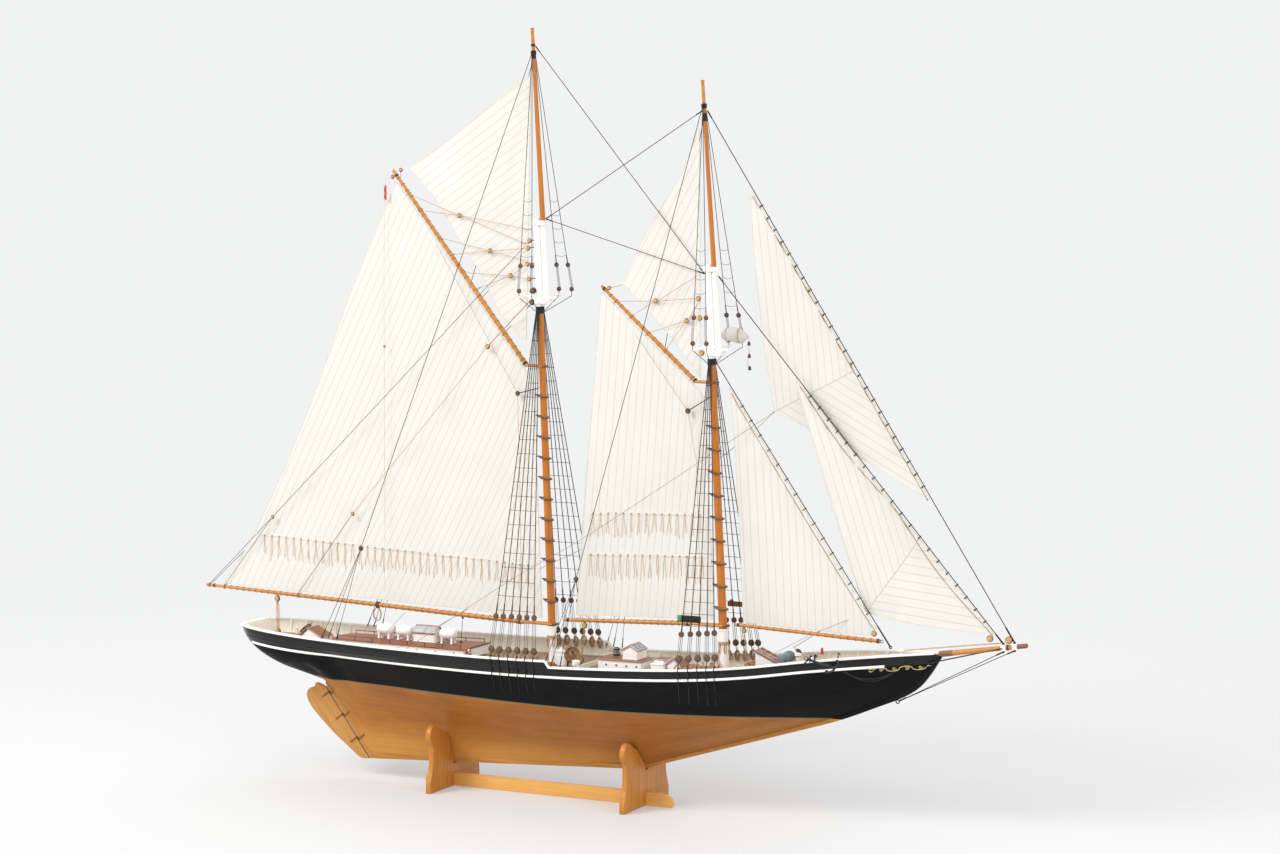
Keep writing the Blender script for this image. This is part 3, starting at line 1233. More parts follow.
def reef_points(sail, start, end, count, drop):
    """One row of short ties through the cloth, hanging on both faces."""
    shape = Shape()
    for k in range(count):
        t = (k + 0.5) / count
        x, z = mix(start[0], end[0], t), mix(start[1], end[1], t)
        y = sail.height(x, z)
        for side in (1, -1):
            for spread in (-1, 1):
                lean_x = spread * random.uniform(0.5, 2.6)
                sway = random.uniform(-0.7, 0.7)
                low = drop * random.uniform(0.72, 1.05)
                line = [(x, y + side * 0.1, z), (x + spread * 0.4, y + side * 0.9, z - 0.6),
                        (x + lean_x * 0.4 + sway, y + side * 0.95, z - low * 0.4),
                        (x + lean_x * 0.8 - sway * 0.6, y + side * 0.95, z - low * 0.72),
                        (x + lean_x, y + side * 0.8, z - low)]
                shape.tube(rounded(line, 3), 0.18, 4)
        shape.ball((x, y, z), 0.95, (0, 1, 0), 1.3, 7, 5, 1)
    piece = shape.piece(f"{sail.name}_reef_points_{round(start[1])}", sail.body, "tan_cord",
                        [REEF_CORD, REEF_KNOT])
    strip = Shape()
    line = [Vector((mix(start[0], end[0], k / 30), 0, mix(start[1], end[1], k / 30))) for k in range(31)]
    for p in line:
        p.y = sail.height(p.x, p.z)
    for side in (1, -1):
        strip.skin([[p + Vector((0, side * 0.2, 1.6)), p + Vector((0, side * 0.32, 1.4)),
                     p + Vector((0, side * 0.32, -1.4)), p + Vector((0, side * 0.2, -1.6))] for p in line])
    return [piece, strip.piece(f"{sail.name}_reef_band_{round(start[1])}", sail.body, "sailcloth",
                               [BAND_CLOTH])]


REEF_CORD = twisted("reef_cord", (0.72, 0.46, 0.24), (0.50, 0.29, 0.12))
REEF_KNOT = twisted("reef_knot", (0.60, 0.35, 0.10), (0.36, 0.19, 0.05))
LACING = twisted("lacing_cord", (0.42, 0.25, 0.12), (0.22, 0.12, 0.055))
BAND_CLOTH = sailcloth("band_cloth", (0,), 0.0033)


def lacing(shape, stick, start, end, count, radius):
    """Turns of cord round a spar, where a sail is bent to it."""
    for k in range(count):
        t = mix(start, end, k / (count - 1))
        tilt = stick.run + Vector((0, 0.25, 0))
        shape.ring(stick.at(t), tilt, stick.thick(t) * 0.98 + radius, radius, 14)


def hanks(shape, luff, stay, count, skip=1):
    """Hooks from a headsail's luff to its stay: an eye on the stay and a short shank into the cloth."""
    (x0, z0), (x1, z1) = stay
    a, b = Vector((x0, 0, z0)), Vector((x1, 0, z1))
    along = (b - a).normalized()
    for p in walk(luff, count)[skip:-skip]:
        on_stay = a + along * (p - a).dot(along)
        inward = (p - on_stay).normalized()
        end = p + inward * 1.5
        shape.tube([on_stay - inward * 1.3, on_stay, p, end], [0.3, 0.42, 0.36, 0.25], 6)
        shape.ring(on_stay, along, 0.75, 0.3, 10)
        shape.ring(p, (0, 1, 0), 0.7, 0.24, 10)


def luff_line(cords, sail, stay, slack):
    """The hauling line beside a headsail's luff: made fast near the head and tack, slack between."""
    (x0, z0), (x1, z1) = stay
    run = Vector((x1 - x0, 0, z1 - z0)).normalized()
    aft = Vector((run.z, 0, -run.x))
    places = walk(sail.luff, 33)
    for side in (1, -1):
        path = []
        for k, p in enumerate(places):
            q = p + aft * (1.5 + slack[k])
            path.append(Vector((q.x, sail.height(q.x, q.z) + side * 0.55, q.z)))
        cords.tube(path, 0.26, 5)


LINE_SLACK = {
    "jib": [4.6 * abs(math.sin(math.pi * k / 16)) ** 1.3 for k in range(33)],
    "even": [0.5 for k in range(33)],
    "staysail": [2.2 * math.sin(math.pi * k / 32) ** 0.5 for k in range(33)],
}
MAIN_HOOPS = stations(177.7, 362.5, 18.4)
FORE_HOOPS = stations(181.3, 340.4, 19.8)


def add_sails():
    sails = make_sails()
    extras = {name: [] for name in sails}
    for name, rows in (("mainsail", [((-338, 222), (-46, 208.5), 36, 23)]),
                       ("foresail", [((12.5, 259), (125, 263), 15, 22),
                                     ((10.5, 222), (127, 226), 16, 23.5)])):
        for row in rows:
            extras[name] += reef_points(sails[name], *row)

    for name, sail_name, mast, heights, lashings in (
            ("main_hoops", "mainsail", MAIN_LOWER, MAIN_HOOPS,
             ((MAIN_BOOM, 0.02, 0.94, 46), (MAIN_GAFF, 0.03, 0.96, 30))),
            ("fore_hoops", "foresail", FORE_LOWER, FORE_HOOPS,
             ((FORE_BOOM, 0.03, 0.9, 17), (FORE_GAFF, 0.04, 0.96, 17)))):
        shape = Shape()
        for z in heights:
            centre = mast.at_z(z, -0.5)
            tilt = mast.run + Vector((0.2, 0, 0))
            shape.ring(centre, tilt, mast.thick(mast.share_at(z)) + 1.9, 0.75, 28)
            shape.ring(centre + Vector((-6.4, 0, 1.2)), (0, 0.3, 1), 1.3, 0.5, 10)
        extras[sail_name].append(shape.piece(name, sails[sail_name].body, "tarred_cord", [DEADEYE]))
        cords = Shape()
        for lash in lashings:
            lacing(cords, *lash, 0.24)
        extras[sail_name].append(cords.piece(sail_name + "_lacing", sails[sail_name].body, "tan_cord",
                                             [LACING]))

    for name, body, stay, count, slack in (
            ("jib", "hull", JIB_STAY, 22, LINE_SLACK["jib"]),
            ("jib_topsail", "hull", TOPMAST_STAY, 26, LINE_SLACK["even"]),
            ("staysail", "staysail_rig", FORE_STAY, 17, LINE_SLACK["staysail"])):
        shape, cords = Shape(), Shape()
        hanks(shape, sails[name].luff, stay, count)
        extras[name].append(shape.piece(name + "_hanks", body, "tarred_cord", [TARRED]))
        luff_line(cords, sails[name], stay, slack)
        extras[name].append(cords.piece(name + "_luff_line", body, "tan_cord", [LACING]))
    cords = Shape()
    lacing(cords, STAY_BOOM, 0.06, 0.93, 18, 0.22)
    extras["staysail"].append(cords.piece("staysail_lacing", "staysail_rig", "tan_cord", [LACING]))

    for name, sail in sails.items():
        sail.make(sailcloth(name + "_cloth", **SEAMS[name]), name, HELD_ON[name], extras[name])
    return sails


# ---------------------------------------------------------------- rigging

ROPE = 0.4
FINE_ROPE = 0.22
RAIL_TOP = 1.75
MAIN_SHROUDS = {"mast": MAIN_LOWER, "hounds": 440, "rise": 7.2, "lift": 29, "ratlines": 12.5,
                "at": [-53, -44.6, -35.5, -26.8, -18.4, -10.4]}
FORE_SHROUDS = {"mast": FORE_LOWER, "hounds": 397, "rise": 9.2, "lift": 21, "ratlines": 10.3,
                "at": [125.3, 134.1, 142.2, 150.3, 157.3]}


def line(shape, points, radius=ROPE, finish=0, sides=5):
    shape.tube([Vector(p) for p in points], radius, sides, finish)


def deadeye(shape, centre, finish, hole, radius=2.6, axis=(0, 1, 0)):
    """A round block with a scored rim and three dark holes."""
    profile = [(0.3, -1.15), (1.7, -1.15), (2.3, -0.85), (2.55, -0.45), (2.35, 0), (2.55, 0.45),
               (2.3, 0.85), (1.7, 1.15), (0.3, 1.15)]
    grow = radius / 2.55
    shape.lathe(centre, axis, [(r * grow, h * grow) for r, h in profile], 14, finish)
    for angle in turns(3, math.pi / 2):
        at = Vector(centre) + Vector((1.15 * math.cos(angle), 0, 1.15 * math.sin(angle))) * grow
        shape.lathe(at, axis, [(0.34, -1.25 * grow), (0.34, 1.25 * grow)], 6, hole)


def block(shape, centre, run, finish, strop, size=2.2, axis=(0, 1, 0)):
    """A pulley block: two oval cheeks with a dark sheave between them, stropped along run."""
    run = Vector(run).normalized()
    axis = Vector(axis)
    axis = (axis - run * axis.dot(run)).normalized()
    wide = run.cross(axis)
    for side in (-1, 1):
        rings = []
        for out, grow in ((0.22, 0.92), (0.55, 1.0), (0.85, 0.8)):
            middle = Vector(centre) + axis * side * out * size * 0.8
            rings.append([middle + run * size * 1.15 * grow * math.cos(a)
                          + wide * size * 0.8 * grow * math.sin(a) for a in turns(12)])
        shape.skin(rings, finish)
    shape.lathe(centre, axis, [(size * 0.55, -size * 0.2), (size * 0.55, size * 0.2)], 10, strop)
    shape.ring(Vector(centre), axis, size * 1.02, 0.3, 14, strop)


def seized_end(shape, at, towards, finish, length=7, radius=0.75):
    """The wrapped, thicker end of a stay or shroud."""
    at = Vector(at)
    way = (Vector(towards) - at).normalized()
    line(shape, [at, at + way * 0.6, at + way * (length - 0.8), at + way * length],
         [radius * 0.8, radius, radius * 0.9, ROPE], finish, 7)


def gang(shrouds, side):
    """The lower and upper deadeye and the masthead end of each shroud on one side."""
    mast = shrouds["mast"]
    top = mast.at_z(shrouds["hounds"] + 1.2, 0, side * (mast.thick(0.85) + 1))
    out = []
    for k, x in enumerate(shrouds["at"]):
        low = Vector((x, side * (DECK_HALF(x) - 1.2), rail_z(x) + RAIL_TOP + shrouds["rise"]))
        high = low.lerp(top, shrouds["lift"] / (top.z - low.z))
        head = top + Vector(((k - len(shrouds["at"]) / 2) * 0.5, 0, (k % 3) * 0.9))
        out.append((low, high, head))
    return out


def add_shrouds(name, shrouds):
    rig = Shape()
    mast = shrouds["mast"]
    plates = Shape()
    for side in (1, -1):
        made = gang(shrouds, side)
        for low, high, head in made:
            deadeye(rig, low, 1, 2)
            deadeye(rig, high, 1, 2)
            line(rig, [high + (head - high).normalized() * 2.6, head], ROPE)
            seized_end(rig, high + (head - high).normalized() * 2.2, head, 0, 9, 0.62)
            for along, face in ((-1.2, -0.9), (-0.5, 0.9), (0.5, -0.9), (1.2, 0.9)):
                a = low + Vector((along, face, 1.2 - abs(along) * 0.5))
                b = high + Vector((along, face, -1.2 + abs(along) * 0.5))
                line(rig, [a, b], FINE_ROPE, 3, 4)
            rig.ring(low, (0, 1, 0), 2.75, 0.4, 14, 2)
            chainplate(plates, low, side)
        z = max(m[1].z for m in made) + 5
        while z < shrouds["hounds"] - 16:
            marks = []
            for low, high, head in made:
                t = (z - high.z) / (head.z - high.z)
                marks.append(high.lerp(head, t))
            path = []
            for a, b in zip(marks, marks[1:]):
                path += [a, a.lerp(b, 0.5) - Vector((0, 0, 0.35))]
            path.append(marks[-1])
            line(rig, path, 0.24, 0, 4)
            for p in marks:
                rig.ball(p, 0.55, sides=6, rings=4)
            z += shrouds["ratlines"]
    z = shrouds["hounds"]
    for k in range(4):
        rig.ring(mast.at_z(z + 0.9 * k), mast.run, mast.thick(0.85) + 0.55, 0.5, 20)
    rig.piece(name + "_gang", "hull", "tarred_cord", [TARRED, DEADEYE, IRON, LANYARD], [name])
    plates.piece(name + "_chainplates", "hull", "anchor_iron", [BLACK_PAINT])


def chainplate(shape, low, side):
    """An iron strap from a lower deadeye over the rail and down the planking."""
    x = low.x
    top = rail_z(x)
    path = [low + Vector((0, side * 0.2, -2.7)), Vector((x, side * (DECK_HALF(x) + 1.5), top + 1.2)),
            on_hull(x, top - 1.2, side, 0.9), on_hull(x, SHEER(x) - 3.4, side, 1.5),
            on_hull(x, SHEER(x) - MOULDING_DROP + 1.6, side, 1.0),
            on_hull(x, SHEER(x) - MOULDING_DROP, side, 1.5),
            on_hull(x, SHEER(x) - MOULDING_DROP - 1.7, side, 0.7)]
    path += [on_hull(x, z, side, 0.35) for z in stations(SHEER(x) - MOULDING_DROP - 4, 104, 3)]
    line(shape, path, 0.36, 0, 6)
    shape.ball((x, side * (DECK_HALF(x) - 0.6), top + RAIL_TOP + 1.3), 0.9, sides=8, rings=5)
    shape.ball(path[-1], 0.6, sides=8, rings=5)
    shape.ball(on_hull(x, SHEER(x) - 3.2, side, 1.2), 1.5, (1, 0, 0), 0.7, 10, 6)


LANYARD_TAN = twisted("sheet_cord", (0.50, 0.40, 0.30), (0.24, 0.18, 0.13))
LANYARD = twisted("lanyard_cord", (0.20, 0.17, 0.15), (0.06, 0.05, 0.045))


def add_topmast_rigging(name, lower, upper, trees, hounds, foot, split):
    rig = Shape()
    upper_x = [lower.at_z(trees).x + dx for dx in split]
    for side in (1, -1):
        top = upper.at_z(hounds + 1.2, 0, side * (upper.thick(0.9) + 1))
        highs = []
        for k, x in enumerate(upper_x):
            low = Vector((x, side * (TREE_HALF - 2), trees + 8))
            high = low.lerp(top, 22 / (top.z - low.z))
            highs.append(high)
            deadeye(rig, low, 1, 2, 2.2)
            deadeye(rig, high, 1, 2, 2.2)
            for face in (-0.9, 0, 0.9):
                line(rig, [low + Vector((face, side, 1)), high + Vector((face, side, -1))], 0.2, 3, 4)
            line(rig, [high, top + Vector((0, 0, k * 0.8))], 0.3)
            seized_end(rig, high + (top - high).normalized() * 1.8, top, 0, 7, 0.5)
            foot_at = lower.at_z(trees - 13, 0, side * (lower.thick(0.88) + 0.4))
            line(rig, [low + Vector((0, 0, -2.1)), Vector((x, side * (TREE_HALF - 2), trees + 2)), foot_at],
                 0.3)
        for z in stations(trees + 39, trees + 88, 12.2):
            a, b = [high.lerp(top, (z - high.z) / (top.z - high.z)) for high in highs]
            line(rig, sagging(a, b, 1.4, 6), 0.2, 0, 4)
        backstay(rig, top, foot, side)
    for k in range(4):
        rig.ring(upper.at_z(hounds + 0.9 * k), upper.run, upper.thick(0.9) + 0.5, 0.42, 18)
    rig.piece(name + "_gang", "hull", "tarred_cord", [TARRED, DEADEYE, IRON, LANYARD, BLOCK], [name])


def backstay(rig, top, foot, side):
    """A running backstay: one long part to a block, and a fall of three parts to eyes on the deck."""
    deck = Vector((foot[0], side * foot[1], foot[2]))
    end = deck.lerp(top, 0.16)
    line(rig, [top, end], 0.3)
    block(rig, end - (top - end).normalized() * 2.4, top - end, 1, 2, 2.1)
    for k, along in enumerate((-9, -2, 7)):
        eye = deck + Vector((along, 0, -1.0))
        line(rig, [end - (top - end).normalized() * 3.5, eye], 0.24, 0, 4)
        seized_end(rig, eye, end, 0, 9, 0.5)
        rig.ring(eye, (1, 0, 0), 0.9, 0.3, 10, 2)


def add_stays():
    stay = Shape()
    top, foot = [Vector((x, 0, z)) for x, z in FORE_STAY]
    line(stay, [top, foot], 0.42)
    seized_end(stay, foot, top, 0, 22, 0.75)
    stay.ring(foot, (0, 1, 0), 1.2, 0.4, 12, 1)
    for z in (394, 395.2):
        stay.ring(FORE_LOWER.at_z(z + 1.2), FORE_LOWER.run, 4.0, 0.45, 20)
    stay.piece("forestay_wire", "hull", "tarred_cord", [TARRED, IRON], ["forestay"])

    head = Shape()
    for (top, foot), reach in ((JIB_STAY, 12), (TOPMAST_STAY, 16)):
        a, b = Vector((top[0], 0, top[1])), Vector((foot[0], 0, foot[1]))
        line(head, [a, b], 0.42)
        seized_end(head, b, a, 0, reach, 0.8)
        seized_end(head, a, b, 0, 8, 0.7)
    stem_eye = Vector((306.5, 0, 111.2))
    for x, z in ((401.3, 161.4), (411, 163)):
        end = Vector((x, 0, z))
        line(head, [stem_eye + Vector((3, 0, 1.5)), end], 0.34)
        seized_end(head, end, stem_eye, 0, 8, 0.7)
        line(head, [end, end + Vector((0.6, 0, 1.8))], 0.55, 1)
    head.ring(stem_eye + Vector((0.8, 0, 0.6)), (0, 1, 0), 1.5, 0.5, 12, 1)
    seized_end(head, stem_eye + Vector((2, 0, 1.2)), Vector((401.3, 0, 161.4)), 0, 8, 0.75)
    for x in (399.3, 409):
        shares = [BOWSPRIT.share_at(v, "x") for v in (x, x + 4)]
        head.tube([BOWSPRIT.at(t) for t in shares], [BOWSPRIT.thick(t) + 0.75 for t in shares], 20, 2)
    for side in (1, -1):
        end = BOWSPRIT.at_x(401) + Vector((0, side * 2.6, 0))
        start = on_hull(336, 147.5, side, 0.8)
        line(head, [start, end], 0.3)
        seized_end(head, start, end, 0, 6, 0.55)
        seized_end(head, end, start, 0, 7, 0.6)
        head.ball(start, 0.9, sides=8, rings=5, finish=1)
    for side in (1, -1):
        line(head, [(312, side * 3.4, 156), (356, side * 3.0, 162.5), (399, side * 2.2, 168.4)], 0.24, 3, 5)
    block(head, (389, 0, 171.5), (1, 0, 0.7), 4, 1, 2.6)
    block(head, (405.5, 0, 171.2), (0.7, 0, 0.7), 4, 1, 2.9)
    head.piece("head_stay_wires", "hull", "tarred_cord", [TARRED, IRON, WHITE, NATURAL, BLOCK],
               ["head_stays"])

    mast = Shape()
    main_cap, fore_cap = MAIN_TOP.at_z(521.6, 3.2), FORE_LOWER.at_z(474, -3.6)
    main_truck, fore_truck = MAIN_TOP.at_z(675, 2.4), FORE_TOP.at_z(615, -2.2)
    for a, b in ((main_cap, fore_cap), (main_truck, fore_cap), (fore_truck, main_cap)):
        line(mast, [a, b], 0.34)
        seized_end(mast, a, b, 0, 7, 0.62)
        seized_end(mast, b, a, 0, 7, 0.62)
    mast.piece("mast_stay_wires", "hull", "tarred_cord", [TARRED], ["mast_stays"])


def in_plane(points, y=0.0):
    return [Vector((x, y, z)) for x, z in points]


def purchase(cords, gaff, bridles, heads):
    """Bridles on a gaff, each led to a block, and the parts from there to the blocks at the masthead."""
    for outer, at, inner in bridles:
        outer, at, inner = in_plane((outer, at, inner))
        for end in (outer, inner):
            line(cords, [end, at], 0.24)
            cords.ring(end, gaff.run, 2.35, 0.3, 14, 1)
        block(cords, at, (1, 0, -0.25), 1, 2, 1.9)
    for (x0, z0), (x1, z1) in heads:
        line(cords, [(x0 + 2, -0.6, z0), (x1 - 1, -0.6, z1)], 0.24)


def add_halyards():
    cords = Shape()
    peak, middle, throat = (-119.7, 524.6), (-88.1, 492.7), (-66.8, 470.4)
    bridles = (((-172.8, 544.6), peak, (-160, 529.3)), ((-140.8, 504.6), middle, (-127.7, 489)),
               ((-115.6, 472.9), throat, (-100.1, 458.7)))
    heads = ((peak, (-44.1, 511.6)), (peak, (-49.3, 498.9)), (middle, (-47.6, 495.2)),
             (middle, (-50.2, 484)), (throat, (-49.5, 481)), (throat, (-48, 467.6)))
    purchase(cords, MAIN_GAFF, bridles, heads)
    for x, z in ((-47.4, 502), (-48.8, 495.4), (-49.4, 481), (-47.8, 467.6)):
        block(cords, (x, 0, z), (1, 0, 0.8), 1, 2, 1.9)
        line(cords, [(x, 0, z), (x + 7, 0, z + 1)], 0.4, 3)
    for x, z in ((-41.5, 457.5), (-43, 447)):
        block(cords, (x, -3.5, z), (0, 0, 1), 4, 2, 2.5)
    for side in (-1, 1):
        top = Vector((-49.5, side * 5, 497))
        middle = Vector((-321.9, side * 5, 239.9))
        line(cords, [top, middle], 0.24, 3)
        block(cords, middle, top - middle, 1, 2, 1.7)
        for x in (-398, -380.5):
            line(cords, [middle, MAIN_BOOM.at_x(x) + Vector((0, side * 1.9, 0.3))], 0.24, 3)
        head, upper, lower = in_plane(((-44, 449), (-88.6, 406.2), (-233.4, 247)), side * 4)
        for y in (-0.6, 0.6):
            line(cords, [head + Vector((0, y, 0)), upper + Vector((0, y, 0))], 0.22)
        line(cords, [upper, lower], 0.24)
        block(cords, upper, head - upper, 1, 2, 2.1)
        block(cords, lower, upper - lower, 1, 2, 1.7)
        line(cords, [lower, MAIN_BOOM.at_x(-296.9) + Vector((0, side * 2.2, 0.4))], 0.24, 3)
    for x in (-398, -380.5, -296.9):
        cords.ring(MAIN_BOOM.at_x(x), MAIN_BOOM.run, 2.1, 0.3, 14, 0)
    for x, z, end in ((-181, 566.2, 0.95), (-189.9, 560, 0.985)):
        block(cords, (x, 0, z), (1, 0, 0.4), 1, 2, 1.7)
        line(cords, [(x, 0, z), MAIN_GAFF.at(end)], 0.24)
    flag_line = in_plane(((-190.5, 558), (-195.3, 551.8), (-197.3, 470), (-197.6, 404), (-197.8, 356),
                          (-199, 176)), -4)
    line(cords, rounded(flag_line, 4), 0.2, 5)
    flag = [in_plane(((-196.6, z), (-193.9, z)), -4 - 0.3 * math.sin(z)) + in_plane(((-193.9, z),), -4.4)
            for z in stations(539, 552, 1.5)]
    cords.skin(flag, 6)
    block(cords, (-197.6, -4, 404), (0, 0, 1), 1, 2, 1.0)
    vang = in_plane(((-140.8, 497.8), (-57.8, 364.7)), -4)
    line(cords, vang, 0.2)
    block(cords, vang[1], vang[0] - vang[1], 4, 2, 2.0)
    line(cords, [vang[1], MAIN_LOWER.at_z(370, -3.4, -2)], 0.45, 3)
    line(cords, [vang[1], (-55, -6, 300), (-50, -12, 180)], 0.2)
    boom_eye = Vector((-209.7, 0, 160))
    cords.ring(MAIN_BOOM.at_x(-209.7), MAIN_BOOM.run, 2.5, 0.55, 16, 2)
    cords.ring(MAIN_BOOM.at_x(-207.6), MAIN_BOOM.run, 2.5, 0.45, 16, 2)
    loop = [boom_eye + Vector((4.0 * math.sin(a), 0, -6.2 + 6.0 * math.cos(a))) for a in turns(20)]
    for y in (-0.45, 0.45):
        line(cords, [p + Vector((0, y, 0)) for p in loop] + [loop[0] + Vector((0, y, 0))], 0.42, 0, 6)
    finishes = [NATURAL, BLOCK, IRON, TARRED, DEADEYE, PALE_CORD, RED]
    cords.piece("main_purchases", "main_rig", "tan_cord", finishes, ["main_halyard_and_lift"])

    cords = Shape()
    peak, throat = (78.3, 449.7), (108.1, 432.8)
    bridles = (((39, 448.7), peak, (54.3, 435.7)), ((70.3, 421.1), throat, (88.1, 406.8)))
    heads = ((peak, (121.5, 473)), (peak, (118.4, 452.4)), (throat, (121, 449)), (throat, (120.5, 436)))
    purchase(cords, FORE_GAFF, bridles, heads)
    for x, z in ((120.4, 452.4), (121.9, 435.4), (123.8, 404.9)):
        block(cords, (x, -1.5, z), (1, 0, 0.4), 1, 2, 2.1)
    gaff_block = (32.6, 0, 460.5)
    block(cords, gaff_block, (1, 0, 0.1), 1, 2, 1.7)
    line(cords, [gaff_block, (45.4, 1.5, 463.3)], 0.24)
    vang = in_plane(((61, 419.5), (111.6, 354.1)), -4)
    line(cords, vang, 0.22)
    block(cords, vang[1], vang[0] - vang[1], 4, 2, 2.2)
    line(cords, [vang[1], FORE_LOWER.at_z(366, -3, -3)], 0.42, 3)
    line(cords, [vang[1], (120.3, -4, 308.7), (127, -9, 180)], 0.2)
    finishes = [NATURAL, BLOCK, IRON, TARRED, DEADEYE]
    cords.piece("fore_purchases", "fore_rig", "tan_cord", finishes, ["fore_halyard"])


def sheet_tackle(name, top, foot, parts=3, spread=1.2, size=2.5, finish=None):
    """A tackle from a boom down to an eye on the deck, bending as the boom swings."""
    top, foot = Vector(top), Vector(foot)
    run = (top - foot).normalized()
    shape = Shape()
    block(shape, top - run * size * 1.2, run, 1, 2, size)
    block(shape, foot + run * size * 1.2, run, 1, 2, size)
    for k in range(parts):
        off = Vector((spread * (k - (parts - 1) / 2), 0.4 * (k % 2), 0))
        path = [foot.lerp(top, t) + off * math.sin(math.pi * t) for t in (0.14, 0.32, 0.5, 0.68, 0.86)]
        line(shape, path, 0.26, 0, 5)
    shape.ring(top, (1, 0, 0), 1.1, 0.35, 12, 2)
    shape.ring(foot, (1, 0, 0), 1.1, 0.35, 12, 2)
    made = shape.mesh_object(name, [finish or NATURAL, BLOCK, IRON])
    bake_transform(made)
    return made


def add_sheets():
    sheet_tackle("main_sheet", MAIN_BOOM.at_x(-320.7) - Vector((0, 0, 2)), (-320, 0, 126.5), 4,
                 1.3, 2.8)
    sheet_tackle("main_inner_tackle", MAIN_BOOM.at_x(-118) - Vector((0, 0, 2)),
                 (-120, 0, 133.6), 1, 0, 0.9, TARRED)
    sheet_tackle("fore_sheet", FORE_BOOM.at_x(8) - Vector((0, 0, 2)), (4, 0, 123), 3, 1.0, 2.4)
    sheet_tackle("staysail_sheet", STAY_BOOM.at_x(164) - Vector((0, 0, 2)), (168, 0, 130),
                 2, 1.0, 2.0)
    lines = Shape()
    jib_clew = Vector((JIB_CLEW[0], 5.2, JIB_CLEW[1]))
    for side in (1, -1):
        line(lines, [jib_clew, (232, side * 10, 166), (198, side * 30, 146)], 0.26)
    clew = Vector((JIB_TOPSAIL_CLEW[0], 13.2, JIB_TOPSAIL_CLEW[1]))
    starboard = [clew, (150, -6, 327), (18.4, -12, 241.3), (-60.6, -16, 195.6),
                 (-171, -36, deck_z(-171) + 0.6)]
    port = [clew, (140, 22, 318), (20, 26, 238), (-62, 20, 196), (-199, 36, deck_z(-199) + 0.6)]
    for path in (starboard, port):
        line(lines, rounded(path, 5), 0.26)
        lines.ring(path[-1], (0, 1, 0), 0.9, 0.3, 10)
    for point in (jib_clew, clew):
        lines.ring(point, (0, 1, 0), 0.9, 0.3, 10)
    lines.piece("headsail_sheets", "hull", "tan_cord", [LANYARD_TAN])
    guy = Shape()
    top, foot = Vector((-178, -2.4, 158)), Vector((-180, -52, 134.5))
    line(guy, [top.lerp(foot, t) for t in (0, 0.25, 0.5, 0.75, 1)], 0.22)
    made = guy.mesh_object("main_boom_guy", [LANYARD_TAN])
    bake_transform(made)
    spare = Shape()
    block(spare, (285.4, 0, 168.6), (1, 0, 0.4), 0, 1, 2.2)
    spare.piece("staysail_clew_block", "staysail_rig", "tan_cord", [BLOCK, IRON])


# ---------------------------------------------------------------- deck furniture


def roof_planks(name, light, dark, spacing, axis="Y"):
    """Varnished planks side by side, with fine dark joints."""
    f = Finish(name, 0.46, coat=0.04, shine=0.25)
    value = axis_value(f, axis)
    joint = seam_mask(f, value, spacing, 0.00028)
    scale = (30, 420, 420) if axis == "Y" else (420, 30, 420)
    streaks = f.noise(f.mapped(scale), detail=6, roughness=0.6)
    row = f.math("FLOOR", f.math("DIVIDE", f.math("ADD", value, spacing / 2), spacing))
    tone = f.node("ShaderNodeTexWhiteNoise", {"W": row}, noise_dimensions="1D").outputs["Value"]
    share = f.math("ADD", f.math("MULTIPLY", streaks, 0.7), f.math("MULTIPLY", tone, 0.35))
    f.colour(f.between(f.math("MULTIPLY", joint, 0.75), f.between(share, dark, light),
                       (0.05, 0.025, 0.016)))
    f.bump(f.math("SUBTRACT", f.math("MULTIPLY", streaks, 0.2), joint), 0.4, 0.0002)
    return f.material


ROOF = roof_planks("roof_planks", (0.37, 0.135, 0.055), (0.21, 0.07, 0.026), 0.0034)
TRUNK_AFT, TRUNK_FORE, TRUNK_TOP = -247, -104, 131.8


def trunk_half(x):
    return mix(17, 24, (x - TRUNK_AFT) / (TRUNK_FORE - TRUNK_AFT))


WHEEL_CENTRE = Vector((-289, 0, 135.3))
WHEEL_SHAFT = Vector((math.sin(math.radians(43.5)), 0, -math.cos(math.radians(43.5))))


def add_wheel():
    wheel = Shape()
    centre, shaft = WHEEL_CENTRE, WHEEL_SHAFT
    rise = Vector((-shaft.z, 0, shaft.x))
    wheel.ring(centre, shaft, 5.6, 0.65, 32)
    wheel.ring(centre, shaft, 5.6, 0.5, 32, 1)
    wheel.lathe(centre, shaft, [(0.6, -1.1), (1.3, -0.8), (1.5, 0), (1.3, 0.7), (0.6, 1.2)], 16, 1)
    for a in turns(8, math.pi / 8):
        way = Vector((0, math.cos(a), 0)) + rise * math.sin(a)
        steps = [0.8, 2.2, 3.4, 5.0, 5.7, 6.4, 7.0, 7.6, 8.0]
        radii = [0.35, 0.45, 0.3, 0.42, 0.4, 0.3, 0.5, 0.42, 0.15]
        wheel.tube([centre + way * s for s in steps], radii, 8)
    wheel.piece("wheel_turned", "wheel_body", "wheel_wood", [MAHOGANY_TRIM, BRASS], ["steering_wheel"])
    stand = Shape()
    stand.lathe(centre + shaft * 1.4, shaft, [(0.5, 0), (0.8, 0.3), (0.8, 1.8), (0.5, 2.1)], 12, 1)
    stand.piece("wheel_shaft", "hull", "rudder_brass", [MAHOGANY_TRIM, BRASS])


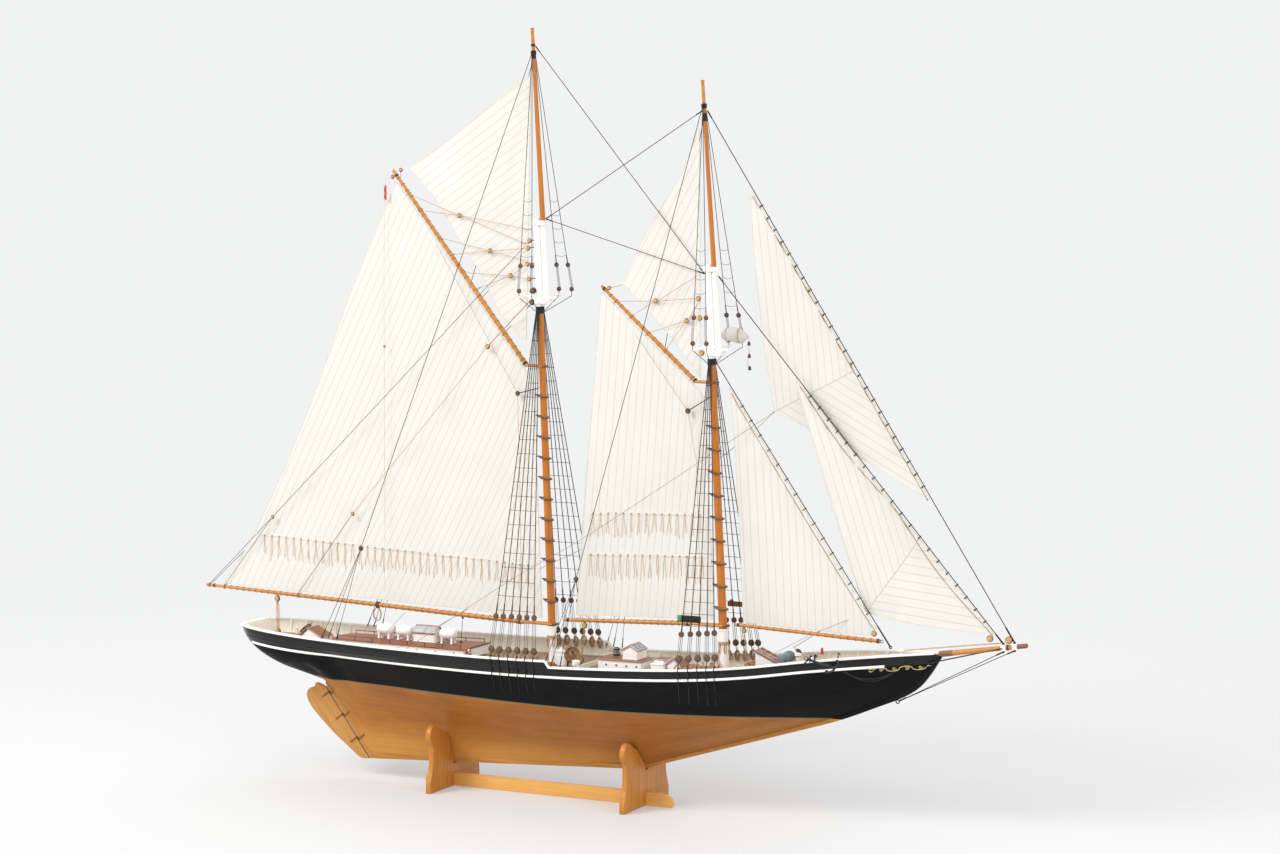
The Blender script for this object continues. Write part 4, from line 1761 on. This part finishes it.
def add_trunk():
    walls = Shape()
    low = max(deck_z(TRUNK_AFT), deck_z(TRUNK_FORE)) + 0.3

    def corners(grow):
        a, b = trunk_half(TRUNK_AFT) + grow, trunk_half(TRUNK_FORE) + grow
        return [(TRUNK_AFT - grow, -a), (TRUNK_FORE + grow, -b), (TRUNK_FORE + grow, b),
                (TRUNK_AFT - grow, a)]

    inner = [(x, y, z) for z in (low, 130) for x, y in corners(-1.6)]
    outer = [(x, y, z) for z in (low, 130) for x, y in corners(0)]
    sides = [[k, (k + 1) % 4, (k + 1) % 4 + 4, k + 4] for k in range(4)]
    walls.add(outer + inner, sides + [[8 + k for k in face[::-1]] for face in sides]
              + [[k, (k + 1) % 4, 8 + (k + 1) % 4, 8 + k] for k in range(4)]
              + [[4 + k, 12 + k, 12 + (k + 1) % 4, 4 + (k + 1) % 4] for k in range(4)])
    for grow, bottom, top in ((0.5, low, low + 1.4), (0.35, 129.0, 130.1)):
        path = [(*c, 0) for c in corners(0)]
        for a, b in zip(path, path[1:] + path[:1]):
            band(walls, [b, a], -0.4, grow, bottom, top, soft=0.15)
    for side in (1, -1):
        for x in stations(TRUNK_AFT + 12, TRUNK_FORE - 10, 19.5):
            y = side * (trunk_half(x) + 0.1)
            walls.ring((x, y, 126.6), (0, 1, 0), 1.5, 0.35, 16, 1)
            walls.lathe((x, y, 126.6), (0, 1, 0), [(1.4, -0.15), (1.4, 0.12)], 14, 2)
    walls.piece("trunk_sides", "hull", "cabin_paint", [WHITE, BRASS, GLASS], ["trunk_walls"], bevel=0.15)

    roof = Shape()
    rings = []
    for x in stations(TRUNK_AFT - 1.4, TRUNK_FORE + 1.4, 12):
        half = trunk_half(x) + 1.4
        ys = [half * k / 8 for k in range(-8, 9)]
        top = [(x, y, TRUNK_TOP - 0.7 * (y / half) ** 2) for y in ys]
        rings.append(top + [(x, y, 130.15) for y in reversed(ys)])
    roof.skin(rings)
    for a, b in (((TRUNK_AFT, 0), (TRUNK_FORE, 0)),):
        roof.box(a[0], b[0], -0.5, 0.5, TRUNK_TOP - 0.1, TRUNK_TOP + 0.15, 1)
    roof.piece("trunk_roof_planks", "hull", "roof_wood", [ROOF, MAHOGANY_TRIM], ["trunk_roof"], bevel=0.2)

    rail = Shape()
    for side in (1, -1):
        posts = [(x, side * (trunk_half(x) - 1.2)) for x in stations(TRUNK_AFT + 4, TRUNK_FORE - 4, 19.2)]
        for x, y in posts:
            rail.tube([(x, y, TRUNK_TOP - 0.6), (x, y, TRUNK_TOP + 1.0), (x, y, TRUNK_TOP + 2.9)],
                      [0.5, 0.32, 0.4], 8, 1)
        rail.tube([(x, y, TRUNK_TOP + 2.4) for x, y in posts], 0.48, 8)
    rail.piece("trunk_hand_rails", "hull", "roof_wood", [MAHOGANY, IRON])


def add_tanks():
    for k, x in enumerate((-201, -180, -133.5)):
        tank = Shape()
        z = 140.3
        ends = [(0.4, -8.4), (2.4, -8.2), (4.0, -7.4), (4.8, -6.0), (4.95, -4.2), (4.95, 4.2), (4.8, 6.0),
                (4.0, 7.4), (2.4, 8.2), (0.4, 8.4)]
        tank.lathe((x, 0, z), (1, 0, 0), ends, 28)
        for at in (-4.4, 4.4):
            tank.ring((x + at, 0, z), (1, 0, 0), 4.95, 0.28, 28)
        for fore in (-1, 1):
            for side in (-1, 1):
                foot = Vector((x + fore * 5.2, side * 3.2, TRUNK_TOP))
                tank.tube([foot, foot + Vector((0, 0, 0.8)), foot + Vector((0, -side * 0.3, 3)),
                           foot + Vector((0, -side * 0.7, 6.2))], [1.5, 1.15, 1.1, 1.5], 12)
        tank.tube([(x, 0, z + 4.8), (x, 0, z + 5.8)], 0.9, 12, 0)
        tank.piece(f"tank_{k + 1}_shell", "hull", "tank_paint", [TANK_WHITE], [f"deck_tank_{k + 1}"],
                   sharp=50)


def gable_house(shape, aft, fore, half, floor, eaves, ridge, panes, ridge_x=None):
    """White walls under two pitched frames, each with a brown rim and as many lights as panes says."""
    ridge_x = (aft + fore) / 2 if ridge_x is None else ridge_x
    shape.slab([(aft, floor), (fore, floor), (fore, eaves), (ridge_x, ridge - 0.5), (aft, eaves)], -half,
               half, "y", 0)
    shape.slab([(aft - 0.4, floor), (fore + 0.4, floor), (fore + 0.4, floor + 1.2),
                (aft - 0.4, floor + 1.2)],
               -half - 0.4, half + 0.4, "y", 0)
    for x in (aft, fore):
        out = 1 if x > ridge_x else -1
        low, high = Vector((x + out * 1.1, 0, eaves - 0.5)), Vector((ridge_x, 0, ridge))
        way = (high - low).normalized()
        up = Vector((-way.z, 0, way.x)) * (1 if out < 0 else -1)
        wide = half + 1.2

        def plate(a, b, y0, y1, lift, drop, finish):
            ends = [low.lerp(high, a), low.lerp(high, b)]
            corners = ((ends[0], drop), (ends[1], drop), (ends[1], lift), (ends[0], lift))
            outline = [(p + up * h) for p, h in corners]
            shape.skin([[p + Vector((0, y, 0)) for p in outline] for y in (y0, y1)], finish)

        plate(0, 1, -wide, wide, 0.9, 0, 1)
        if panes:
            step = (2 * wide - 1.6) / panes
            for k in range(panes):
                y0 = -wide + 0.8 + k * step + 0.35
                plate(0.13, 0.87, y0, y0 + step - 0.7, 0.98, 0.4, 2)
            for k in range(panes + 1):
                y0 = -wide + 0.8 + k * step
                plate(0.02, 0.98, y0 - 0.35, y0 + 0.35, 1.3, 0.5, 1)
            for a, b in ((0.0, 0.11), (0.89, 1.0)):
                plate(a, b, -wide, wide, 1.3, 0.5, 1)
    shape.box(ridge_x - 0.8, ridge_x + 0.8, -half - 1.2, half + 1.2, ridge + 0.2, ridge + 1.1, 1)


def add_houses():
    sky = Shape()
    gable_house(sky, -7.6, 7.6, 11.2, TRUNK_TOP + 0.2, 140.4, 146.2, 2)
    sky.points = [Vector((-155 + p.y, p.x, p.z)) for p in sky.points]
    sky.piece("trunk_skylight_built", "hull", "cabin_paint", [WHITE, MAHOGANY, GLASS_PALE],
              ["trunk_skylight"], bevel=0.15)

    box = Shape()
    gable_house(box, -289, -265.5, 9, 123.2, 129.0, 136.6, 0, ridge_x=-281)
    box.piece("wheel_box_built", "hull", "cabin_paint", [WHITE, ROOF, GLASS], ["wheel_box"], bevel=0.15)

    house = Shape()
    house.box(28, 71, -13, 13, 119.2, 130, 0)
    house.box(27.5, 71.5, -13.5, 13.5, 119.2, 120.6, 0)
    house.box(26.9, 72.1, -14.1, 14.1, 130, 131.1, 1)
    for x in (29, 70):
        for y in (-12.8, 12.8):
            house.box(x - 1, x + 1, y - 0.5, y + 0.5, 120.6, 130, 0)
    for x in (36, 46, 56, 66):
        for side in (1, -1):
            house.ring((x, side * 13.1, 126), (0, 1, 0), 1.3, 0.3, 14, 2)
            house.lathe((x, side * 13.1, 126), (0, 1, 0), [(1.2, -0.15), (1.2, 0.12)], 12, 3)
    smoke_head = [(3.2, 0), (3.4, 2.2), (2.2, 3.4), (2.2, 4.4), (2.9, 4.9), (2.9, 6.8), (1.0, 7.6)]
    house.lathe((36, 8, 131.1), (0, 0, 1), smoke_head, 16, 4)
    house.tube([(36, 8, 134.6), (29, 8, 135.2), (27, 8, 135.6)], 0.8, 8, 4)
    house.piece("deck_house_built", "hull", "cabin_paint", [WHITE, ROOF, BRASS, GLASS, IRON],
                ["deck_house"], bevel=0.2)

    sky = Shape()
    gable_house(sky, 50.5, 64.5, 9, 131.2, 139.2, 143.6, 3)
    sky.piece("house_skylight_built", "hull", "cabin_paint", [WHITE, MAHOGANY, GLASS], ["house_skylight"],
              bevel=0.15)

    hatch = Shape()
    hatch.box(80, 92, -13, 13, 121.2, 129, 0)
    hatch.box(79.4, 92, -13.6, 13.6, 129, 130, 0)
    hatch.box(80.5, 89.5, -7, 7, 130, 132.6, 0)
    hatch.box(79.8, 90.2, -7.8, 7.8, 132.6, 133.4, 1)
    gable_house(hatch, 93.2, 106, 8, 121.2, 129, 134.4, 0)
    hatch.box(106.8, 116, -11, 11, 121.2, 127.2, 0)
    hatch.box(106.6, 116.5, -11.6, 11.6, 127.2, 128.2, 1)
    hatch.piece("fish_hatch_built", "hull", "cabin_paint", [WHITE, ROOF, GLASS], ["fish_hatch"], bevel=0.15)

    comp = Shape()
    comp.slab([(178.4, 129.4), (199.6, 129.4), (199.6, 136.4), (178.4, 145.6)], -7.6, 7.6, "y", 0)
    low, high = Vector((201.4, 0, 136.6)), Vector((176.9, 0, 147.3))
    way = (high - low).normalized()
    up = Vector((-way.z, 0, way.x)) * -1
    for y0, y1, lift in ((-8.6, 8.6, 0.9), (-8.9, -7.7, 1.7), (7.7, 8.9, 1.7), (-0.5, 0.5, 1.4)):
        outline = [low, high, high + up * lift, low + up * lift]
        comp.skin([[p + Vector((0, y, 0)) for p in outline] for y in (y0, y1)], 1)
    for t in (0.03, 0.28, 0.52, 0.76):
        a, b = low.lerp(high, t), low.lerp(high, t + 0.05)
        corners = (a, b, b + up * 1.5, a + up * 1.5)
        comp.skin([[p + Vector((0, y, 0)) for p in corners] for y in (-7.7, 7.7)], 1)
    comp.box(177.8, 178.6, -5, 5, 130, 143.2, 1)
    comp.piece("companion_built", "hull", "roof_wood", [WHITE, MAHOGANY], ["fore_companion"], bevel=0.15)


def add_windlass():
    w = Shape()
    x, z = 207, 143.7
    drum = [(1.4, -19), (3.3, -18.6), (3.5, -17.4), (2.7, -16.6), (2.7, -15.4), (3.4, -14.6), (4.6, -14.2),
            (4.6, -12.8), (4.2, -12.2), (4.2, -6.2), (4.5, -5.8), (4.5, -5), (4.2, -4.6), (4.2, 1.4),
            (4.6, 2), (4.6, 3.2), (1.6, 3.6)]
    w.lathe((x, 0, z), (0, 1, 0), drum, 28, 0)
    w.lathe((x, 0, z), (0, 1, 0), [(2.0, 3.8), (4.0, 4.2), (4.0, 10.2), (2.0, 10.6)], 24, 1)
    w.lathe((x, 0, z), (0, 1, 0), [(1.5, 11), (4.3, 11.6), (4.3, 13), (3.2, 13.8), (3.4, 17.6), (4.1, 18),
                                   (4.1, 18.8), (1.5, 19)], 24, 2)
    for y, top in ((-8, 146), (8, 149.4)):
        w.slab([(x - 3.6, 131.6), (x + 3.6, 131.6), (x + 2.6, top - 1.4), (x + 1.8, top), (x - 1.8, top),
                (x - 2.6, top - 1.4)], y - 1.1, y + 1.1, "y", 1)
    w.lathe((x + 8.6, 0, 131.8), (0, 0, 1), [(2.4, 0), (2.2, 12), (3.4, 12.8), (3.4, 14.6), (1.2, 15.4)],
            16, 1)
    w.box(x + 6.4, x + 11, -0.8, 0.8, 139, 140.6, 2)
    for k in range(5):
        w.ring((x, -3.4 + k * 0.9, z), (0, 1, 0), 4.5, 0.42, 22, 0)
    w.piece("windlass_built", "hull", "windlass_paint", [SLATE, WHITE, IRON], ["windlass"], bevel=0.15)


def add_anchor():
    a = Shape()
    ring, crown = Vector((240, -39.8, 149.3)), Vector((264, -36.4, 142.9))
    a.tube([ring, ring.lerp(crown, 0.5), crown], [0.9, 1.05, 1.25], 10)
    a.ring(ring + Vector((-0.9, 0, 0.5)), (0, 1, 0.2), 1.7, 0.35, 16)
    for reach, fluke in (((-6.5, -0.4, -4.2), (-1.6, 0, 2.2)), ((3.4, -0.6, 6.0), (-2.4, 0, 0.3))):
        tip = crown + Vector(reach)
        bend = [crown, crown.lerp(tip, 0.5) + (crown - ring).normalized() * 1.6, tip]
        a.tube(rounded(bend, 4), [1.0] * 5 + [0.85] * 3 + [0.5], 8)
        palm = tip + Vector(fluke) * 0.3
        a.ball(palm, 1.7, (0, 1, 0), 0.35, 10, 6)
    stock = [(240.6, -45.2, 146.8), (241, -39.7, 149), (241.4, -33.9, 151)]
    a.tube(stock, [0.5, 0.8, 0.5], 8)
    for p in (stock[0], stock[2]):
        a.ball(p, 0.95, sides=10, rings=6)
    for t in (0.12, 0.85):
        a.ring(ring.lerp(crown, t), crown - ring, 1.7, 0.3, 12, 1)
    for x, thick in ((243, 0.8), (262.5, 0.45)):
        rail = rail_z(x)
        half = DECK_HALF(x)
        davit = [(x, -half + 1, rail + 1), (x + 0.4, -half + 0.8, rail + 5),
                 (x + 1.2, -half - 1.2, rail + 6.6),
                 (x + 3.2, -half - 3, rail + 6.4), (x + 3.8, -half - 3.6, rail + 5.4)]
        a.tube(rounded(davit, 4), thick, 8)
    a.piece("anchor_forged", "hull", "anchor_iron", [IRON, TARRED], ["anchor"])

    cable = Shape()
    for shift, sag in ((0.0, 6.5), (2.2, 8.2)):
        path = []
        for k in range(25):
            t = k / 24
            x = mix(267 + shift, 309, t)
            z = mix(138.5, 140, t) - sag * 4 * t * (1 - t)
            path.append(on_hull(x, z, -1, 0.9))
        cable.tube(path, 0.62, 8)
    cable.piece("anchor_cable", "hull", "tarred_cord", [BLACK_CORD])


def loops(shape, centre, wide, tall, count, thick, across=(0, 1, 0), finish=0):
    """A made-up coil of rope hung so that its loops lie square to across."""
    across = Vector(across).normalized()
    side = across.cross(Vector((0, 0, 1)))
    side = side.normalized() if side.length > 0.1 else Vector((1, 0, 0))
    up = side.cross(across)
    for k in range(count):
        w, t = wide * random.uniform(0.78, 1.1), tall * random.uniform(0.85, 1.1)
        off = across * (k - count / 2) * thick * 1.7 + side * random.uniform(-0.3, 0.3) * wide
        middle = Vector(centre) + off - up * random.uniform(0, 0.8)
        path = [middle + side * w * math.cos(a) + up * t * math.sin(a) + across * 0.35 * math.sin(2 * a)
                for a in turns(18)]
        shape.tube(path + [path[0]], thick, 5, finish)


def add_small_items():
    coils = Shape()
    for shrouds in (MAIN_SHROUDS, FORE_SHROUDS):
        xs = shrouds["at"]
        for side in (1, -1):
            for x in [v + 3.4 for v in xs] + [xs[0] - 3]:
                top = rail_z(x) + 0.5
                loops(coils, (x, side * (DECK_HALF(x) - 4.6), top + random.uniform(-0.6, 1.4)), 2.1, 4.6, 4,
                      0.36, (0.15, 1, 0))
                line(coils, [(x, side * (DECK_HALF(x) - 4.4), top + 3),
                             (x, side * (DECK_HALF(x) - 4.4), top + 7)],
                     0.36)
    for mast, z in ((MAIN_LOWER, 140), (FORE_LOWER, 146)):
        for a in turns(5, 0.4):
            at = mast.at_z(z) + Vector((5.0 * math.cos(a), 5.0 * math.sin(a), random.uniform(-1, 2)))
            loops(coils, at, 1.2, 4.6, 2, 0.24, (math.cos(a), math.sin(a), 0))
        for k in range(3):
            coils.ring(mast.at_z(z + 4 + 1.1 * k), mast.run, 4.6, 0.3, 24)
    loops(coils, (-14, -26, 124.5), 6, 6, 5, 0.55, (0.1, 0.1, 1))
    loops(coils, (166, 18, 130.5), 7, 7, 6, 0.5, (0.05, 0.05, 1))
    loops(coils, (166, -20, 130.5), 7, 7, 6, 0.5, (-0.05, 0.08, 1))
    coils.piece("belayed_coils", "hull", "tan_cord", [NATURAL])
    dark = Shape()
    for wide, count in ((6.6, 7), (4.6, 6), (2.8, 5)):
        loops(dark, (1.5, -15, 133.5), wide, wide, count, 0.7, (0.75, -0.6, 0.35))
    dark.tube([(-2, -14, 122), (-2, -14, 136)], 0.9, 8, 1)
    dark.tube([(5, -17, 117.6), (5, -17, 134)], 0.9, 8, 1)
    dark.piece("halyard_coil", "hull", "tan_cord", [LACING, MAHOGANY])

    cask = Shape()
    cask.lathe((-6, -20, 121.5), (0, 0, 1), [(4.6, 0), (5.4, 3), (5.6, 7), (5.4, 11), (4.7, 14)], 20, 0)
    lid = [(5.3, 0), (5.5, 0.6), (5.3, 1.6), (1.2, 2.2), (1.2, 3.6), (0.4, 4)]
    cask.lathe((-6, -20, 135.5), (0, 0, 1), lid, 20, 0)
    for h in (3.0, 11.0):
        cask.ring((-6, -20, 121.5 + h), (0, 0, 1), 5.4, 0.35, 20, 0)
    bollard = [(4.2, 0), (4.2, 1.2), (2.6, 2), (2.4, 9), (3.8, 10), (3.8, 12), (1, 12.8)]
    cask.lathe((12, -25, 117.5), (0, 0, 1), bollard,
               18, 0)
    cask.lathe((12, -31, 126.5), (0, 1, 0), [(0.6, 0), (1.2, 0.6), (1.2, 11.4), (0.6, 12)], 12, 0)
    for side in (1, -1):
        cask.lathe((222, side * 14, 133), (0, 0, 1), [(1.8, 0), (1.6, 6), (2.4, 6.8), (2.4, 8.4), (0.8, 9)],
                   14, 0)
        for x in (-318, 24, 150, 246):
            cask.lathe((x, side * (DECK_HALF(x) - 8), deck_z(x)), (0, 0, 1),
                       [(1.5, 0), (1.2, 4), (1.8, 4.6), (1.8, 5.6), (0.6, 6.1)], 12, 0)
    cask.piece("casks_and_bitts", "hull", "cabin_paint", [WHITE])

    buoy = Shape()
    centre = Vector((-102.1, -17, 126.4))
    rings = []
    for a in turns(32):
        out = Vector((0, math.cos(a), math.sin(a)))
        middle = centre + out * 3.5
        rings.append([middle + 1.05 * (math.cos(b) * out + Vector((math.sin(b), 0, 0))) for b in turns(10)])
    for k in range(8):
        part = [rings[(k * 4 + j) % 32] for j in range(5)]
        buoy.skin(part, k % 2, ends=False)
    buoy.piece("life_ring", "hull", "rail_paint", [WHITE, RED])

    lamps = Shape()
    for side, x0, x1, z0, z1, lamp in ((-1, 126.5, 148, 176.5, 182, 1), (1, 126, 146, 176, 180.6, 2)):
        y = side * 55.5 if side < 0 else 50.5
        lamps.box(x0, x1, y - 0.6, y + 0.6, z0, z1, 0 if side < 0 else 4)
        out = y + side * 2.2
        lamps.box(x1 - 1, x1, min(y, out), max(y, out), z0, z1, 0)
        lamps.box(x0, x1, min(y, out), max(y, out), z0, z0 + 0.7, 0)
        lamps.lathe((x0 + 2.6, y + side * 2.3, z0 + 0.8), (0, 0, 1),
                    [(1.5, 0), (2.0, 0.6), (2.0, 4.0), (1.4, 4.8), (0.5, 5.2)], 14, lamp)
        for x in (x0 + 4, x1 - 4):
            lamps.ring((x, y, (z0 + z1) / 2), (0, 0, 1), 1.3, 0.25, 10, 3)
    lamp = [(1.3, 0), (1.3, 1), (1.1, 1.2), (1.2, 4.6), (0.8, 5.6), (0.3, 6)]
    lamps.lathe((237.7, 0, 147.5), (0, 0, 1), lamp, 14, 2)
    lamps.piece("side_lights", "hull", "hull_paint", [BLACK_PAINT, GREEN, RED, TARRED, MAHOGANY])


def add_masthead_items():
    bundle = Shape()
    rings = []
    for k in range(15):
        t = k / 14
        grow = math.sin(math.pi * (0.06 + 0.88 * t)) ** 0.7
        centre = Vector((mix(130.7, 155.2, t), 26, 419.6 + 0.8 * math.sin(5 * t)))
        swell = 7.0 * grow * (1 + 0.05 * math.sin(11 * t))
        rings.append([centre + Vector((0, math.cos(a),
                                       math.sin(a))) * swell * (1 + 0.06 * math.sin(3 * a + 9 * t))
                      for a in turns(18)])
    bundle.skin(rings)
    for x in (136.5, 148.5):
        bundle.ring((x, 26, 419.9), (1, 0, 0), 6.9, 0.26, 24, 1)
    tail = [Vector((156.2 + 0.6 * math.sin(0.3 * k), 26, 419 - 1.6 * k)) for k in range(18)]
    bundle.tube(tail, 0.45, 6)
    for k in range(3):
        top = Vector((156.6 + 0.4 * k, 26, 414.6 - 10.8 * k))
        for fray in (-1, 0, 1):
            bundle.tube([top, top + Vector((0.5 * fray, 0.3 * fray, -1.8)),
                         top + Vector((1.1 * fray, 0, -3.6))],
                        [0.7, 0.8, 0.5], 6, 2)
    bundle.piece("furled_flag", "hull", "sailcloth", [BUNDLE, NATURAL, DEADEYE])


BUNDLE = sailcloth("bundle_cloth", (0,), 0.5)


def scroll_path(x0, x1, z, height, curls):
    """A running scroll: a wave with a curl closing in at each crest."""
    path = []
    step = (x1 - x0) / curls
    for k in range(curls):
        middle = x0 + (k + 0.5) * step
        way = 1 if k % 2 == 0 else -1
        for j in range(9):
            a = math.pi * (1 - j / 8)
            path.append((middle + 0.5 * step * math.cos(a), z + way * height * math.sin(a) * 0.9))
    return path


def add_scrolls():
    gold = Shape()
    for side in (1, -1):
        wave = scroll_path(292, 334, 0, 2.1, 4)
        gold.tube([on_hull(x, SHEER(x) - 10.4 + z, side, 0.12) for x, z in wave], 0.36, 6)
        for k in range(4):
            centre_x = 292 + (k + 0.5) * 10.5
            way = 1 if k % 2 == 0 else -1
            curl = []
            for j in range(22):
                a, r = 0.42 * j, 2.0 * (1 - j / 24)
                curl.append((centre_x + 1.2 + r * math.cos(a), -way * 0.2 + way * r * 0.8 * math.sin(a)))
            gold.tube([on_hull(x, SHEER(x) - 10.4 + z, side, 0.12) for x, z in curl], 0.28, 5)
        for x, z, turn in ((289.5, 1.2, 1), (289.5, -1.4, -1), (336, 1.3, 1)):
            leaf = [(x - 1.6, z * 0.3), (x, z), (x + 2.2, z * 0.5 * turn * turn)]
            gold.tube([on_hull(px, SHEER(px) - 10.4 + pz, side, 0.12) for px, pz in leaf], [0.2, 0.5, 0.2],
                      6)
    gold.piece("bow_scrolls", "hull", "hull_paint", [GOLD])


# ---------------------------------------------------------------- making it all

add_camera()
add_studio()
add_hull_skin()
add_rails()
add_bulwark_inside()
add_decks_and_keel()
add_rudder()
add_stand()
add_masts()
add_caps_and_trees()
add_spars()
add_sails()
add_shrouds("main_shrouds", MAIN_SHROUDS)
add_shrouds("fore_shrouds", FORE_SHROUDS)
add_topmast_rigging("main_topmast_rigging", MAIN_LOWER, MAIN_TOP, MAIN_TREES, 668, (-236, 40, 136.5),
                    (-0.5, 12.5))
add_topmast_rigging("fore_topmast_rigging", FORE_LOWER, FORE_TOP, FORE_TREES, 618, (8, 61.5, 130.8),
                    (-0.5, 12.5))
add_stays()
add_halyards()
add_sheets()
add_wheel()
add_trunk()
add_tanks()
add_houses()
add_windlass()
add_anchor()
add_small_items()
add_masthead_items()
add_scrolls()
